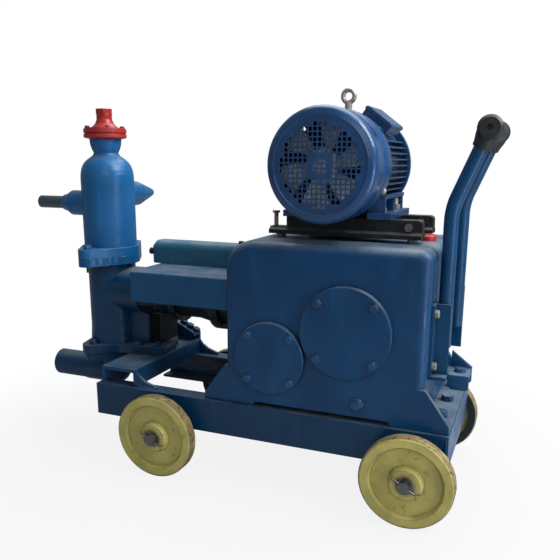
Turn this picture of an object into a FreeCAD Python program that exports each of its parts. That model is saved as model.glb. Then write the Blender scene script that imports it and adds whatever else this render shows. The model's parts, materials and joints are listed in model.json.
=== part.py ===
import FreeCAD, Part
import math
import os

os.makedirs("parts", exist_ok=True)

V = FreeCAD.Vector
X_AXIS = V(1, 0, 0)
Y_AXIS = V(0, 1, 0)
Z_AXIS = V(0, 0, 1)

# Sizes in millimetres. X runs from the pump end to the handle end,
# Y from the near side (motor fan) to the far side (belt drive), Z up.
RUN_GAP = 0.05          # radial play of a shaft that turns in a bore
BODY_GAP = 0.3          # play between a fixed and a turning round face
CUT = 1.0               # how far a cutting tool runs past the face it opens

# wheels and axles
WHEEL_R = 100.0
WHEEL_W = 30.0
WHEEL_FACE_Y = 226.0    # outer rim face from the centre plane
TREAD_ROUND = 4.0
RIM_T = 21.0
RIM_DRAFT = 4.0
WHEEL_WEB = 9.0
HUB_R = 38.0
HUB_DRAFT = 6.0
HUB_PROUD = 4.0
PUMP_AXLE_X = -115.0
HANDLE_AXLE_X = 485.0
AXLE_R = 12.5
AXLE_TIP = 6.6
WASHER_R = 18.0
WASHER_T = 3.0
WASHER_PLAY = 1.0
PIN_R = 2.2
PIN_SPARE = 12.0        # cotter standing out of the axle at each end
PIN_TILT = 30.0

# chassis
WHEEL_CLEAR = 20.0      # wheel to rail web
AXLE_DROP = 15.0        # axle centre below the rails
RAIL_X0 = -309.0
RAIL_X1 = 560.0
RAIL_H = 80.0
RAIL_FLANGE = 43.0
RAIL_WEB_T = 5.0
RAIL_FLANGE_T = 7.0
MID_MEMBER_X = -15.0
LUG_LEN = 50.0          # axle block under a rail
LUG_WALL = 9.0
LUG_ROUND = 8.0

# saddle that carries the pump end
SADDLE_X0 = -298.0
SADDLE_W = 100.0
SADDLE_H = 43.0
SADDLE_T = 8.0
SADDLE_INSET = 11.0     # saddle end from the rail web
GUSSET_LEN = 58.0
SEAT_LOW = 22.0         # sloping seat at the saddle's far end, above the saddle
SEAT_HIGH = 72.0
SEAT_W = 38.0

# valve chest
CHEST_X = -373.0
COLUMN_R = 62.0
COLUMN_FLARE = 3.0
BRANCH_R = 61.0
BRANCH_Z = 404.0
BASE_T = 22.0
BASE_DISC_R = 68.0
BASE_HALF_Y = 55.0      # plate beside the column
BASE_END_Y = 38.0       # plate at its right end
BASE_EDGE = 7.0         # base flange end inside the saddle edge
EAR_X = 24.0            # ears beside the column, from its axis
EAR_Y = 68.0
EAR_R = 28.0
BASE_BOLT_X = 96.0      # pair of bolts on the plate
BASE_BOLT_Y = 31.0
BASE_END_BOLT_IN = 19.0
BASE_END_BOLT_Y = 25.0
RIB_HALF_Y = 11.0       # rib between the base plate and the branch
RIB_END_IN = 18.0
STAY_T = 12.0           # stay from the rib's end to the far side
STAY_Y = 80.0

# flange pair between chest and vessel
PAIR_Z = 497.0
FLANGE_T = 22.0
FLANGE_DISC_R = 74.0
FLANGE_LOBE_Y = 98.0
FLANGE_LOBE_R = 24.0
STUD_R = 6.0
STUD_SPARE = 16.0
NUT_AF = 19.0
NUT_H = 10.0
SPOT_PLAY = 1.0         # spot face round a nut

# air vessel with its delivery stubs and the red seal
VESSEL_R = 68.0
SHOULDER_Z = 690.0
NECK_Z = 758.0
NECK_R = 31.0
VESSEL_TOP_Z = 793.0
COLLAR_R = 40.0
STUB_Z = 628.0
STUB_R = 16.5
STUB_WALL = 4.5
STUB_REACH = 222.0
BOSS_R = 33.0
BOSS_LEN = 112.0        # straight part, from the vessel axis
BOSS_REACH = 140.0
CONE_Z = 650.0          # closed outlet on the far side
CONE_ROOT = 125.0
CONE_TIP = 207.0
CONE_TIP_R = 13.0
SEAL_R = 54.0
SEAL_T = 14.0
SEAL_CONE_R = 34.0
SEAL_CONE_H = 21.0
SEAL_NECK_R = 19.5
SEAL_NECK_H = 13.0
SEAL_HEAD_AF = 38.0
SEAL_HEAD_H = 13.0
SEAL_SOCKET_R = 10.0
SEAL_SOCKET_DEPTH = 20.0
SEAL_BOLT_AF = 11.0
SEAL_BOLT_H = 5.0

# suction pipe
SUCTION_R = 36.0
SUCTION_BORE = 30.0
SUCTION_Z = 171.0
SUCTION_REACH = 190.0
SPIGOT_LEN = 100.0
ELBOW_STEP = 2.0

# plunger cylinder, its guard and the rinse tank
GUARD_X0 = -262.0
GUARD_GAP = 25.0        # guard end to gearbox
GUARD_DROP = 14.0       # guard edge below the plunger axis
GUARD_RISE = 63.0
GUARD_HALF_Y = 79.0
GUARD_T = 3.0
GUARD_BEND_R = 6.0
GUARD_CLEAR = 2.0
GLAND_R = 70.0
GLAND_T = 18.0
LINER_R = 57.0
PACKING_R = 58.0
CROSSHEAD_R = 68.0
CROSSHEAD_LEN = 67.0
CROSSHEAD_FLANGE_R = 80.0
CROSSHEAD_FLANGE_T = 24.0
TANK_OVER = 32.0        # tank past the guard's pump end
TANK_IN = 12.0          # tank's near face inside the guard's far edge
TANK_W = 66.0
TANK_H = 61.0
TANK_ROUND = 20.0
TANK_CHAMFER = 14.0
VENT_IN = 56.0
PLUG_R = 9.0
PLUG_LEN = 14.0
VENT_AF = 14.0
VENT_H = 7.0

# gearbox
BOX_X0 = 47.0
BOX_LEN = 458.0
BOX_HALF_Y = 166.0
BOX_H = 377.0
SHOULDER_R = 68.0
END_R = 26.0
RIM_R = 22.0
FOOT_OUT = 53.0
FOOT_T = 16.0
FOOT_RELIEF = 10.0
FOOT_PAD = 126.0
GABLE_H = 89.0
GABLE_T = 14.0
FOOT_BOLT_AF = 24.0
FOOT_BOLT_H = 13.0
COVER_T = 12.0
COVER_EDGE = 2.0
COVER_BOLT_AF = 16.0
COVER_BOLT_H = 7.0
SMALL_COVER_X = 160.0
SMALL_COVER_Z = 314.0
SMALL_COVER_R = 83.0
LARGE_COVER_X = 333.0
LARGE_COVER_Z = 389.0
LARGE_COVER_R = 101.0
DRAIN_X = 362.0
DRAIN_Z = 233.0
DRAIN_AF = 27.0
FILLER_IN = 42.0        # from the handle end of the box
FILLER_Y = 20.0
FILLER_R = 19.0
FILLER_H = 13.0

# slide rails under the motor
SLIDE_X0 = 118.0
SLIDE_X1 = 464.0
SLIDE_SPACER = 9.0
SLIDE_H = 40.0
SLIDE_BASE_T = 11.0
SLIDE_HALF_Y = 24.0
SLIDE_TOP_HALF_Y = 15.0
SLIDE_SLOT = 13.0
SLIDE_END = 22.0        # spacer from the rail end
SLIDE_LUG = 40.0        # low lug at the pump end of a rail
SLIDE_LUG_H = 16.0
SLIDE_NOSE_R = 10.0
SLIDE_BOLT_IN = 28.0
TENSION_R = 5.0
TENSION_H = 5.0         # bolt head above the rail
TENSION_IN = 9.0
TENSION_AF = 16.0

# motor, frame size 112
SHAFT_H = 112.0
MOTOR_X = 277.0
FOOT_HOLE_X = 95.0
NEAR_FOOT_Y = -50.0
FAR_FOOT_Y = 90.0
MFOOT_HALF_X = 122.5
MFOOT_INNER_X = 70.0
MFOOT_OVER_Y = 28.0
MFOOT_T = 14.0
MFOOT_WEB_T = 8.0
MFOOT_SHELF_Z = 62.0    # cast shelf below the shaft
MFOOT_SHELF_X = 106.0
STATOR_R = 99.0
FIN_R = 112.0
FIN_T = 3.2
FIN_PITCH = 13.0
COWL_R = 117.0
COWL_Y0 = -195.0
COWL_CLEAR = 2.0        # cowl end to the near slide rail
COWL_T = 2.5
COWL_ROUND = 17.0
COWL_LAP = 26.0
GRILLE_PITCH = 11.5
GRILLE_HOLE = 7.2
GRILLE_R = 83.0
FRAME_LEN = 197.0
SHIELD_R = 117.0
SHIELD_T = 30.0
SHIELD_NOSE_R = 58.0
SHAFT_R = 14.0
FAN_R = 90.0
FAN_HUB_R = 34.0
FAN_GAP = 12.0
FAN_W = 32.0
BLADE_T = 4.0
BLADES = 7
MBOLT_AF = 19.0
MBOLT_NUT_H = 10.0
MBOLT_R = 6.0
MBOLT_SPARE = 14.0
EYE_R = 13.0
EYE_BAR_R = 5.0
EYE_SHANK_R = 8.0
EYE_COLLAR_R = 14.0
EYE_COLLAR_H = 6.0
EYE_RISE = 36.0         # ring centre above the fins
TERMINAL_HALF_X = 34.0
TERMINAL_Y0 = -30.0
TERMINAL_LEN = 110.0
TERMINAL_H = 7.0
TERMINAL_LID_T = 8.0
TERMINAL_LIP = 2.0
TERMINAL_TILT = 37.0

# belt drive on the far side
PULLEY_GAP = 18.0       # gearbox to pulleys
PULLEY_W = 40.0
MOTOR_PULLEY_R = 50.0
BOX_PULLEY_R = 120.0
BOX_SHAFT_R = 16.0
SHAFT_SPARE = 4.0
GROOVE_D = 9.0
GROOVE_W = 14.0
BELT_T = 9.0
BELT_EDGE = 2.0
COVER_MARGIN = 18.0     # guard outline beyond the pulleys
COVER_SIDE_GAP = 7.0
COVER_FRONT_GAP = 18.0
COVER_SHEET = 3.0
COVER_HOLE_R = 34.0
STANDOFF_R = 11.0

# handle
YOKE_DEPTH = 36.0
YOKE_Z0 = 309.0
YOKE_H = 149.0
YOKE_SIDE_GAP = 11.0       # ears to the foot gables
YOKE_EAR = 23.0
YOKE_T = 6.0
YOKE_NUT_AF = 16.0
YOKE_NUT_H = 9.0
YOKE_NUT_IN = 19.0
TUBE_R = 15.0
TUBE_WALL = 3.0
TUBE_GAP = 1.0
TUBE_RISE = 55.0        # tube end above the yoke's lower edge
BEND_Z = 652.0
BEND_R = 130.0
GRIP_X = 589.5
GRIP_Z = 806.0
GRIP_HALF_Y = 122.0
GRIP_R = 24.5
GRIP_WAIST = 1.5
GRIP_END = 18.0
GRIP_CHAMFER = 5.0
GRIP_HOLE_R = 6.0
GRIP_HOLE_DEPTH = 8.0

# tow bracket under the yoke
SHELF_REACH = 80.0
SHELF_T = 8.0
SHELF_HALF_Y = 86.0
SHELF_SKIRT = 16.0
SHELF_GUSSET_H = 46.0
TOW_BOLT_R = 8.0
TOW_BOLT_AF = 24.0
TOW_BOLT_H = 8.0
TOW_BOLT_SPARE = 6.0
TOW_BOLT_IN = 23.0

# the origin lies under the middle of the overall length
MID_LENGTH_X = 9.5

# levels and faces that follow from the sizes above
RAIL_WEB_Y = WHEEL_FACE_Y - WHEEL_W - WHEEL_CLEAR
RAIL_Z0 = WHEEL_R + AXLE_DROP
RAIL_TOP = RAIL_Z0 + RAIL_H
RAIL_INNER_Y = RAIL_WEB_Y - RAIL_FLANGE
SADDLE_X1 = SADDLE_X0 + SADDLE_W
SADDLE_TOP = RAIL_TOP + SADDLE_H
SADDLE_END_Y = RAIL_WEB_Y - SADDLE_INSET
BASE_X1 = SADDLE_X1 - BASE_EDGE
BASE_TOP = SADDLE_TOP + BASE_T
BOX_X1 = BOX_X0 + BOX_LEN
YOKE_HALF_Y = BOX_HALF_Y - GABLE_T - YOKE_EAR - YOKE_SIDE_GAP
BOX_TOP = RAIL_TOP + BOX_H
SLIDE_Z0 = BOX_TOP + SLIDE_SPACER
MOTOR_FOOT_Z = SLIDE_Z0 + SLIDE_H
MOTOR_Z = MOTOR_FOOT_Z + SHAFT_H
COWL_Y1 = NEAR_FOOT_Y - SLIDE_TOP_HALF_Y - COWL_CLEAR
COWL_LEN = COWL_Y1 - COWL_Y0
FRAME_Y1 = COWL_Y1 + FRAME_LEN
PULLEY_Y0 = BOX_HALF_Y + PULLEY_GAP
YOKE_X1 = BOX_X1 + YOKE_DEPTH


def block(x0, x1, y0, y1, z0, z1):
    return Part.makeBox(x1 - x0, y1 - y0, z1 - z0, V(x0, y0, z0))


def rod(x, y, z, axis, radius, length):
    return Part.makeCylinder(radius, length, V(x, y, z), axis)


def fuse(shapes):
    body = shapes[0]
    if len(shapes) > 1:
        body = body.multiFuse(shapes[1:])
    return body.removeSplitter()


def turned(points, origin, axis):
    """Solid of revolution from (radius, station) points along an axis."""
    loop = [V(r, 0, s) for r, s in points]
    face = Part.Face(Part.makePolygon(loop + [loop[0]]))
    solid = face.revolve(V(0, 0, 0), Z_AXIS, 360)
    solid.Placement = FreeCAD.Placement(origin, FreeCAD.Rotation(Z_AXIS, axis))
    return solid


def stepped(steps, origin, axis):
    """Turned bar from (start radius, end radius, length) steps laid end to end."""
    points = [(0, 0)]
    station = 0.0
    for r0, r1, length in steps:
        points += [(r0, station), (r1, station + length)]
        station += length
    return turned(points + [(0, station)], origin, axis)


def profile_y(points, y0, y1):
    """Prism along Y from (x, z) points."""
    loop = [V(x, y0, z) for x, z in points]
    face = Part.Face(Part.makePolygon(loop + [loop[0]]))
    return face.extrude(V(0, y1 - y0, 0))


def profile_x(points, x0, x1):
    """Prism along X from (y, z) points."""
    loop = [V(x0, y, z) for y, z in points]
    face = Part.Face(Part.makePolygon(loop + [loop[0]]))
    return face.extrude(V(x1 - x0, 0, 0))


def hexagon(at, axis, across_flats, height):
    """Bolt head or nut standing on a point."""
    corner = across_flats / math.sqrt(3.0)
    ring = []
    for i in range(7):
        turn = math.radians(60.0 * i)
        ring.append(V(corner * math.cos(turn), corner * math.sin(turn), 0))
    head = Part.Face(Part.makePolygon(ring)).extrude(V(0, 0, height))
    head.Placement = FreeCAD.Placement(at, FreeCAD.Rotation(Z_AXIS, axis))
    return head


def stud(at, axis, across_flats, height, radius, below, above=0.0):
    """Nut or head on a surface with a shank running below it and above it."""
    start = at - V(axis).multiply(below)
    shank = Part.makeCylinder(radius, below + height + above, start, axis)
    return hexagon(at, axis, across_flats, height).fuse(shank).removeSplitter()


def racetrack(circle_a, circle_b, y0, y1):
    """Prism along Y round two circles (x, z, r) and their outer tangents."""
    xa, za, ra = circle_a
    xb, zb, rb = circle_b
    heading = math.atan2(zb - za, xb - xa)
    lean = math.acos((ra - rb) / math.hypot(xb - xa, zb - za))
    quad = []
    for x, z, r, side in ((xa, za, ra, 1), (xb, zb, rb, 1), (xb, zb, rb, -1), (xa, za, ra, -1)):
        turn = heading + side * lean
        quad.append((x + r * math.cos(turn), z + r * math.sin(turn)))
    ends = [rod(x, y0, z, Y_AXIS, r, y1 - y0) for x, z, r in (circle_a, circle_b)]
    return fuse([profile_y(quad, y0, y1)] + ends)


def lobed_plate(disc_r, lobes, inset, z0, height):
    """Plate along Z: a disc on the column axis with lobes (x, y, r) on their tangents."""
    arms = [racetrack((0, 0, disc_r - inset), (x, -y, r - inset), 0, height) for x, y, r in lobes]
    plate = fuse(arms)
    plate.rotate(V(0, 0, 0), X_AXIS, 90)
    plate.translate(V(CHEST_X, 0, z0))
    return plate


def edges_at(shape, low=None, high=None):
    """Edges inside the given (x, y, z) limits, None where there is no limit."""
    found = []
    for edge in shape.Edges:
        box = edge.BoundBox
        lows = (box.XMin, box.YMin, box.ZMin)
        highs = (box.XMax, box.YMax, box.ZMax)
        inside = all(b is None or a > b - 0.01 for a, b in zip(lows, low or (None,) * 3))
        inside = inside and all(b is None or a < b + 0.01 for a, b in zip(highs, high or (None,) * 3))
        if inside:
            found.append(edge)
    return found


nodes = {}

# Chassis: two channel rails with their flanges turned inwards
channel = [
    (RAIL_WEB_Y, RAIL_Z0),
    (RAIL_WEB_Y, RAIL_TOP),
    (RAIL_INNER_Y, RAIL_TOP),
    (RAIL_INNER_Y, RAIL_TOP - RAIL_FLANGE_T),
    (RAIL_WEB_Y - RAIL_WEB_T, RAIL_TOP - RAIL_FLANGE_T),
    (RAIL_WEB_Y - RAIL_WEB_T, RAIL_Z0 + RAIL_FLANGE_T),
    (RAIL_INNER_Y, RAIL_Z0 + RAIL_FLANGE_T),
    (RAIL_INNER_Y, RAIL_Z0),
]
rails = [profile_x([(side * y, z) for y, z in channel], RAIL_X0, RAIL_X1 - RAIL_WEB_T)
         for side in (-1, 1)]
nodes["side_rails"] = Part.makeCompound(rails)

# the end channel closes the rails, the middle one sits under the gearbox end
end_member = fuse([
    block(RAIL_X1 - RAIL_WEB_T, RAIL_X1, -RAIL_WEB_Y, RAIL_WEB_Y, RAIL_Z0, RAIL_TOP),
    block(RAIL_X1 - RAIL_FLANGE, RAIL_X1, -RAIL_INNER_Y, RAIL_INNER_Y,
          RAIL_TOP - RAIL_FLANGE_T, RAIL_TOP),
    block(RAIL_X1 - RAIL_FLANGE, RAIL_X1, -RAIL_INNER_Y, RAIL_INNER_Y,
          RAIL_Z0, RAIL_Z0 + RAIL_FLANGE_T),
])
middle_member = block(MID_MEMBER_X, MID_MEMBER_X + RAIL_FLANGE, -RAIL_INNER_Y, RAIL_INNER_Y,
                      RAIL_Z0, RAIL_TOP)
middle_member = middle_member.cut(block(
    MID_MEMBER_X - CUT, MID_MEMBER_X + RAIL_FLANGE - RAIL_WEB_T, -RAIL_INNER_Y - CUT,
    RAIL_INNER_Y + CUT, RAIL_Z0 + RAIL_FLANGE_T, RAIL_TOP - RAIL_FLANGE_T))
nodes["cross_members"] = Part.makeCompound([end_member, middle_member])

# Axles with a block under each rail, washers and cotter pins
washer_y = WHEEL_FACE_Y + HUB_PROUD + WASHER_PLAY
pin_y = washer_y + WASHER_T + WASHER_PLAY + PIN_R
axle_end_y = pin_y + PIN_R + AXLE_TIP
lug_z0 = WHEEL_R - AXLE_R - LUG_WALL
pin_way = V(math.cos(math.radians(PIN_TILT)), 0, -math.sin(math.radians(PIN_TILT)))
pin_half = AXLE_R + PIN_SPARE
axles = []
lugs = []
retainers = []
for x in (PUMP_AXLE_X, HANDLE_AXLE_X):
    axle = rod(x, -axle_end_y, WHEEL_R, Y_AXIS, AXLE_R, 2 * axle_end_y)
    for side in (-1, 1):
        pin_start = V(x, side * pin_y, WHEEL_R) - V(pin_way).multiply(pin_half)
        pin = Part.makeCylinder(PIN_R, 2 * pin_half, pin_start, pin_way)
        axle = axle.cut(pin)
        washer_start = V(x, side * washer_y, WHEEL_R)
        outward = V(0, side, 0)
        washer = Part.makeCylinder(WASHER_R, WASHER_T, washer_start, outward)
        washer = washer.cut(Part.makeCylinder(AXLE_R, WASHER_T, washer_start, outward))
        retainers += [washer, pin]
        lug_y0 = min(side * RAIL_WEB_Y, side * RAIL_INNER_Y)
        lug = block(x - LUG_LEN / 2, x + LUG_LEN / 2, lug_y0, lug_y0 + RAIL_FLANGE, lug_z0, RAIL_Z0)
        lower = [e for e in edges_at(lug, high=(None, None, lug_z0)) if e.BoundBox.YLength > LUG_ROUND]
        lug = lug.makeFillet(LUG_ROUND, lower)
        lugs.append(lug.cut(rod(x, lug_y0 - CUT, WHEEL_R, Y_AXIS, AXLE_R, RAIL_FLANGE + 2 * CUT)))
    axles.append(axle)
nodes["axles"] = Part.makeCompound(axles)
nodes["axle_blocks"] = Part.makeCompound(lugs)
nodes["axle_washers_and_pins"] = Part.makeCompound(retainers)

# Wheels: cast rim, thin web set back from both faces, hub boss
web_out = (WHEEL_W - WHEEL_WEB) / 2
web_in = (WHEEL_W + WHEEL_WEB) / 2
rim_r = WHEEL_R - RIM_T
wheel_bore = AXLE_R + RUN_GAP
wheel_profile = [
    (wheel_bore, -HUB_PROUD),
    (HUB_R - HUB_DRAFT, -HUB_PROUD),
    (HUB_R, web_out),
    (rim_r - RIM_DRAFT, web_out),
    (rim_r, 0),
    (WHEEL_R - TREAD_ROUND, 0),
    (WHEEL_R, TREAD_ROUND),
    (WHEEL_R, WHEEL_W - TREAD_ROUND),
    (WHEEL_R - TREAD_ROUND, WHEEL_W),
    (rim_r, WHEEL_W),
    (rim_r - RIM_DRAFT, web_in),
    (HUB_R, web_in),
    (HUB_R - HUB_DRAFT, WHEEL_W),
    (wheel_bore, WHEEL_W),
]
wheels = (
    ("pump_end_near_wheel", PUMP_AXLE_X, -1),
    ("pump_end_far_wheel", PUMP_AXLE_X, 1),
    ("handle_end_near_wheel", HANDLE_AXLE_X, -1),
    ("handle_end_far_wheel", HANDLE_AXLE_X, 1),
)
for name, x, side in wheels:
    nodes[name] = turned(wheel_profile, V(x, side * WHEEL_FACE_Y, WHEEL_R), V(0, -side, 0))

# Pump saddle: inverted channel across the rails with a swept gusset at each end
saddle = block(SADDLE_X0, SADDLE_X1, -SADDLE_END_Y, SADDLE_END_Y, RAIL_TOP, SADDLE_TOP)
saddle = saddle.cut(block(
    SADDLE_X0 + SADDLE_T, SADDLE_X1 - SADDLE_T, -SADDLE_END_Y - CUT, SADDLE_END_Y + CUT,
    RAIL_TOP - CUT, SADDLE_TOP - SADDLE_T))
sweep = [(SADDLE_X1, RAIL_TOP), (SADDLE_X1 + GUSSET_LEN, RAIL_TOP)]
for along, up in ((1.0, 0.12), (0.45, 0.37), (0.15, 0.65), (0.0, 0.9)):
    sweep.append((SADDLE_X1 + along * GUSSET_LEN, RAIL_TOP + up * SADDLE_H))
gussets = [profile_y(sweep, y0, y0 + SADDLE_T) for y0 in (-SADDLE_END_Y, SADDLE_END_Y - SADDLE_T)]
seat_low = SADDLE_TOP + SEAT_LOW
seat_high = SADDLE_TOP + SEAT_HIGH
seat_web = [(SADDLE_X0, SADDLE_TOP), (SADDLE_X1, SADDLE_TOP), (SADDLE_X1, seat_low), (SADDLE_X0, seat_high)]
seat = [(SADDLE_X0, seat_high - SADDLE_T), (SADDLE_X1, seat_low - SADDLE_T), (SADDLE_X1, seat_low),
        (SADDLE_X0, seat_high)]
nodes["pump_saddle"] = fuse([saddle] + gussets + [
    profile_y(seat_web, SADDLE_END_Y - SADDLE_T, SADDLE_END_Y),
    profile_y(seat, SADDLE_END_Y - SEAT_W, SADDLE_END_Y),
])

# Valve chest: eared base flange, column, side branch with its rib, oval top flange
ears = [(-EAR_X, -EAR_Y, EAR_R), (-EAR_X, EAR_Y, EAR_R)]
plate_taper = [(CHEST_X, -BASE_HALF_Y), (BASE_X1, -BASE_END_Y), (BASE_X1, BASE_END_Y), (CHEST_X, BASE_HALF_Y)]
plate_loop = [V(x, y, SADDLE_TOP) for x, y in plate_taper]
base_plate = Part.Face(Part.makePolygon(plate_loop + [plate_loop[0]])).extrude(V(0, 0, BASE_T))
rib_x1 = BASE_X1 - RIB_END_IN
rib = block(CHEST_X, rib_x1, -RIB_HALF_Y, RIB_HALF_Y, SADDLE_TOP, BRANCH_Z - BRANCH_R)
rib = rib.fuse(block(CHEST_X, GUARD_X0, -RIB_HALF_Y, RIB_HALF_Y, SADDLE_TOP, BRANCH_Z))
stay = block(rib_x1 - STAY_T, rib_x1, -RIB_HALF_Y, STAY_Y, SADDLE_TOP, BRANCH_Z - BRANCH_R)
base = [lobed_plate(BASE_DISC_R, ears, 0.0, SADDLE_TOP, BASE_T), base_plate, rib, stay]
column = stepped([
    (COLUMN_R + COLUMN_FLARE, COLUMN_R + COLUMN_FLARE, BASE_T),
    (COLUMN_R + COLUMN_FLARE, COLUMN_R, 2 * BASE_T),
    (COLUMN_R, COLUMN_R, PAIR_Z - FLANGE_T - SADDLE_TOP - 3 * BASE_T)],
    V(CHEST_X, 0, SADDLE_TOP), Z_AXIS)
branch = rod(CHEST_X, 0, BRANCH_Z, X_AXIS, BRANCH_R, GUARD_X0 - CHEST_X)
pair_lobes = [(0, -FLANGE_LOBE_Y, FLANGE_LOBE_R), (0, FLANGE_LOBE_Y, FLANGE_LOBE_R)]
lower_flange = lobed_plate(FLANGE_DISC_R, pair_lobes, 0.0, PAIR_Z - FLANGE_T, FLANGE_T)
chest = fuse(base + [column, branch, lower_flange])

# Suction elbow under the chest with a plain spigot for the hose
elbow_r = SUCTION_R + ELBOW_STEP
spigot_x0 = CHEST_X - SUCTION_REACH
elbow = fuse([
    rod(spigot_x0, 0, SUCTION_Z, X_AXIS, SUCTION_R, SUCTION_REACH),
    rod(spigot_x0 + SPIGOT_LEN, 0, SUCTION_Z, X_AXIS, elbow_r, SUCTION_REACH - SPIGOT_LEN),
    rod(CHEST_X, 0, SUCTION_Z, Z_AXIS, elbow_r, SADDLE_TOP - SUCTION_Z),
    Part.makeSphere(elbow_r, V(CHEST_X, 0, SUCTION_Z)),
    rod(CHEST_X, 0, SADDLE_TOP - BASE_T, Z_AXIS, COLUMN_R, BASE_T),
    lobed_plate(BASE_DISC_R, ears, EAR_R / 5, SADDLE_TOP - BASE_T, BASE_T),
])
waterway = fuse([
    rod(spigot_x0 - CUT, 0, SUCTION_Z, X_AXIS, SUCTION_BORE, SUCTION_REACH + CUT),
    rod(CHEST_X, 0, SUCTION_Z, Z_AXIS, SUCTION_BORE, SADDLE_TOP - SUCTION_Z + CUT),
    Part.makeSphere(SUCTION_BORE, V(CHEST_X, 0, SUCTION_Z)),
])
nodes["suction_pipe"] = elbow.cut(waterway)

# Air vessel: bottle casting with a flange, delivery boss, closed far outlet, cupped collar
cup_h = VESSEL_TOP_Z - NECK_Z
outline = [(0, PAIR_Z), (VESSEL_R, PAIR_Z)]
for swell, up in ((1.0, 0.0), (0.985, 0.2), (0.93, 0.38), (0.82, 0.54), (0.67, 0.66), (0.48, 0.76),
                  (0.27, 0.84), (0.1, 0.91), (0.0, 1.0)):
    outline.append((NECK_R + swell * (VESSEL_R - NECK_R), SHOULDER_Z + up * (NECK_Z - SHOULDER_Z)))
for swell, up in ((0.2, 0.12), (0.55, 0.32), (0.87, 0.6), (1.0, 0.88), (1.0, 1.0)):
    outline.append((NECK_R + swell * (COLLAR_R - NECK_R), NECK_Z + up * cup_h))
outline.append((0, VESSEL_TOP_Z))
bottle = turned(outline, V(CHEST_X, 0, 0), Z_AXIS)
vessel_flange = lobed_plate(FLANGE_DISC_R, pair_lobes, 0.0, PAIR_Z, FLANGE_T)
outward = V(-1, 0, 0)
stub_root = V(CHEST_X, 0, STUB_Z)
boss_end_r = STUB_R + STUB_WALL
boss_step = (BOSS_REACH - BOSS_LEN) / 2
boss = stepped([
    (BOSS_R, BOSS_R, BOSS_LEN),
    (BOSS_R, 0.7 * boss_end_r + 0.3 * BOSS_R, boss_step),
    (0.7 * boss_end_r + 0.3 * BOSS_R, boss_end_r, boss_step)], stub_root, outward)
tip_len = CONE_TIP_R
closed_outlet = stepped([
    (BOSS_R, BOSS_R, CONE_ROOT),
    (BOSS_R, CONE_TIP_R, CONE_TIP - CONE_ROOT - tip_len),
    (CONE_TIP_R, 0.8 * CONE_TIP_R, 0.6 * tip_len),
    (0.8 * CONE_TIP_R, 0.4 * CONE_TIP_R, 0.4 * tip_len)], V(CHEST_X, 0, CONE_Z), Y_AXIS)
vessel = fuse([bottle, vessel_flange, boss, closed_outlet])
nodes["delivery_stubs"] = turned([
    (STUB_R - STUB_WALL, BOSS_REACH), (STUB_R, BOSS_REACH), (STUB_R, STUB_REACH),
    (STUB_R - STUB_WALL, STUB_REACH)], stub_root, outward)

# Red diaphragm seal: two clamped discs, a cone and a hexagon head with its gauge socket
seal_top = VESSEL_TOP_Z + 2 * SEAL_T
head_z = seal_top + SEAL_CONE_H + SEAL_NECK_H
seal = [stepped([
    (COLLAR_R, SEAL_R, SEAL_T / 4),
    (SEAL_R, SEAL_R, 0.65 * SEAL_T),
    (SEAL_R - SEAL_T / 5, SEAL_R - SEAL_T / 5, SEAL_T / 5),
    (SEAL_R, SEAL_R, 0.7 * SEAL_T),
    (SEAL_R - SEAL_T / 5, SEAL_R - SEAL_T / 5, SEAL_T / 5),
    (SEAL_CONE_R, 0.7 * SEAL_CONE_R, SEAL_CONE_H / 2),
    (0.7 * SEAL_CONE_R, SEAL_NECK_R, SEAL_CONE_H / 2),
    (SEAL_NECK_R, SEAL_NECK_R, SEAL_NECK_H)], V(CHEST_X, 0, VESSEL_TOP_Z), Z_AXIS)]
seal.append(hexagon(V(CHEST_X, 0, head_z), Z_AXIS, SEAL_HEAD_AF, SEAL_HEAD_H))
seal_bolt_r = (SEAL_R + SEAL_CONE_R) / 2
for i in range(4):
    turn = math.radians(45 + 90 * i)
    seal.append(hexagon(
        V(CHEST_X + seal_bolt_r * math.cos(turn), seal_bolt_r * math.sin(turn), seal_top),
        Z_AXIS, SEAL_BOLT_AF, SEAL_BOLT_H))
socket_z = head_z + SEAL_HEAD_H - SEAL_SOCKET_DEPTH
socket = rod(CHEST_X, 0, socket_z, Z_AXIS, SEAL_SOCKET_R, SEAL_SOCKET_DEPTH + CUT)
nodes["gauge_seal"] = fuse(seal).cut(socket)

# Studs through the flange pair and bolts through the base flange
fasteners = []
for y in (-FLANGE_LOBE_Y, FLANGE_LOBE_Y):
    fasteners.append(stud(V(CHEST_X, y, PAIR_Z + FLANGE_T), Z_AXIS, NUT_AF, NUT_H, STUD_R,
                          2 * FLANGE_T + STUD_SPARE))
    through = rod(CHEST_X, y, PAIR_Z - FLANGE_T - STUD_SPARE, Z_AXIS, STUD_R, 2 * FLANGE_T + STUD_SPARE)
    chest = chest.cut(through)
    vessel = vessel.cut(through)
spot_r = NUT_AF / math.sqrt(3.0) + SPOT_PLAY
base_bolts = [(BASE_X1 - BASE_END_BOLT_IN, -BASE_END_BOLT_Y)]
for side in (-1, 1):
    base_bolts += [(CHEST_X - EAR_X, side * EAR_Y), (CHEST_X + BASE_BOLT_X, side * BASE_BOLT_Y)]
for x, y in base_bolts:
    fasteners.append(stud(V(x, y, BASE_TOP), Z_AXIS, NUT_AF, NUT_H, STUD_R, BASE_T))
    chest = chest.cut(rod(x, y, SADDLE_TOP, Z_AXIS, STUD_R, BASE_T))
    chest = chest.cut(rod(x, y, BASE_TOP, Z_AXIS, spot_r, 2 * NUT_H))
seat_way = V(SEAT_HIGH - SEAT_LOW, 0, SADDLE_X1 - SADDLE_X0)
seat_way.normalize()
for share in (0.55, 0.75, 0.95):
    at = V(SADDLE_X0 + share * SADDLE_W, SADDLE_END_Y - SEAT_W / 2, seat_high - share * (SEAT_HIGH - SEAT_LOW))
    fasteners.append(hexagon(at, seat_way, NUT_AF, NUT_H))
nodes["valve_chest"] = chest
nodes["air_vessel"] = vessel
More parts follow.
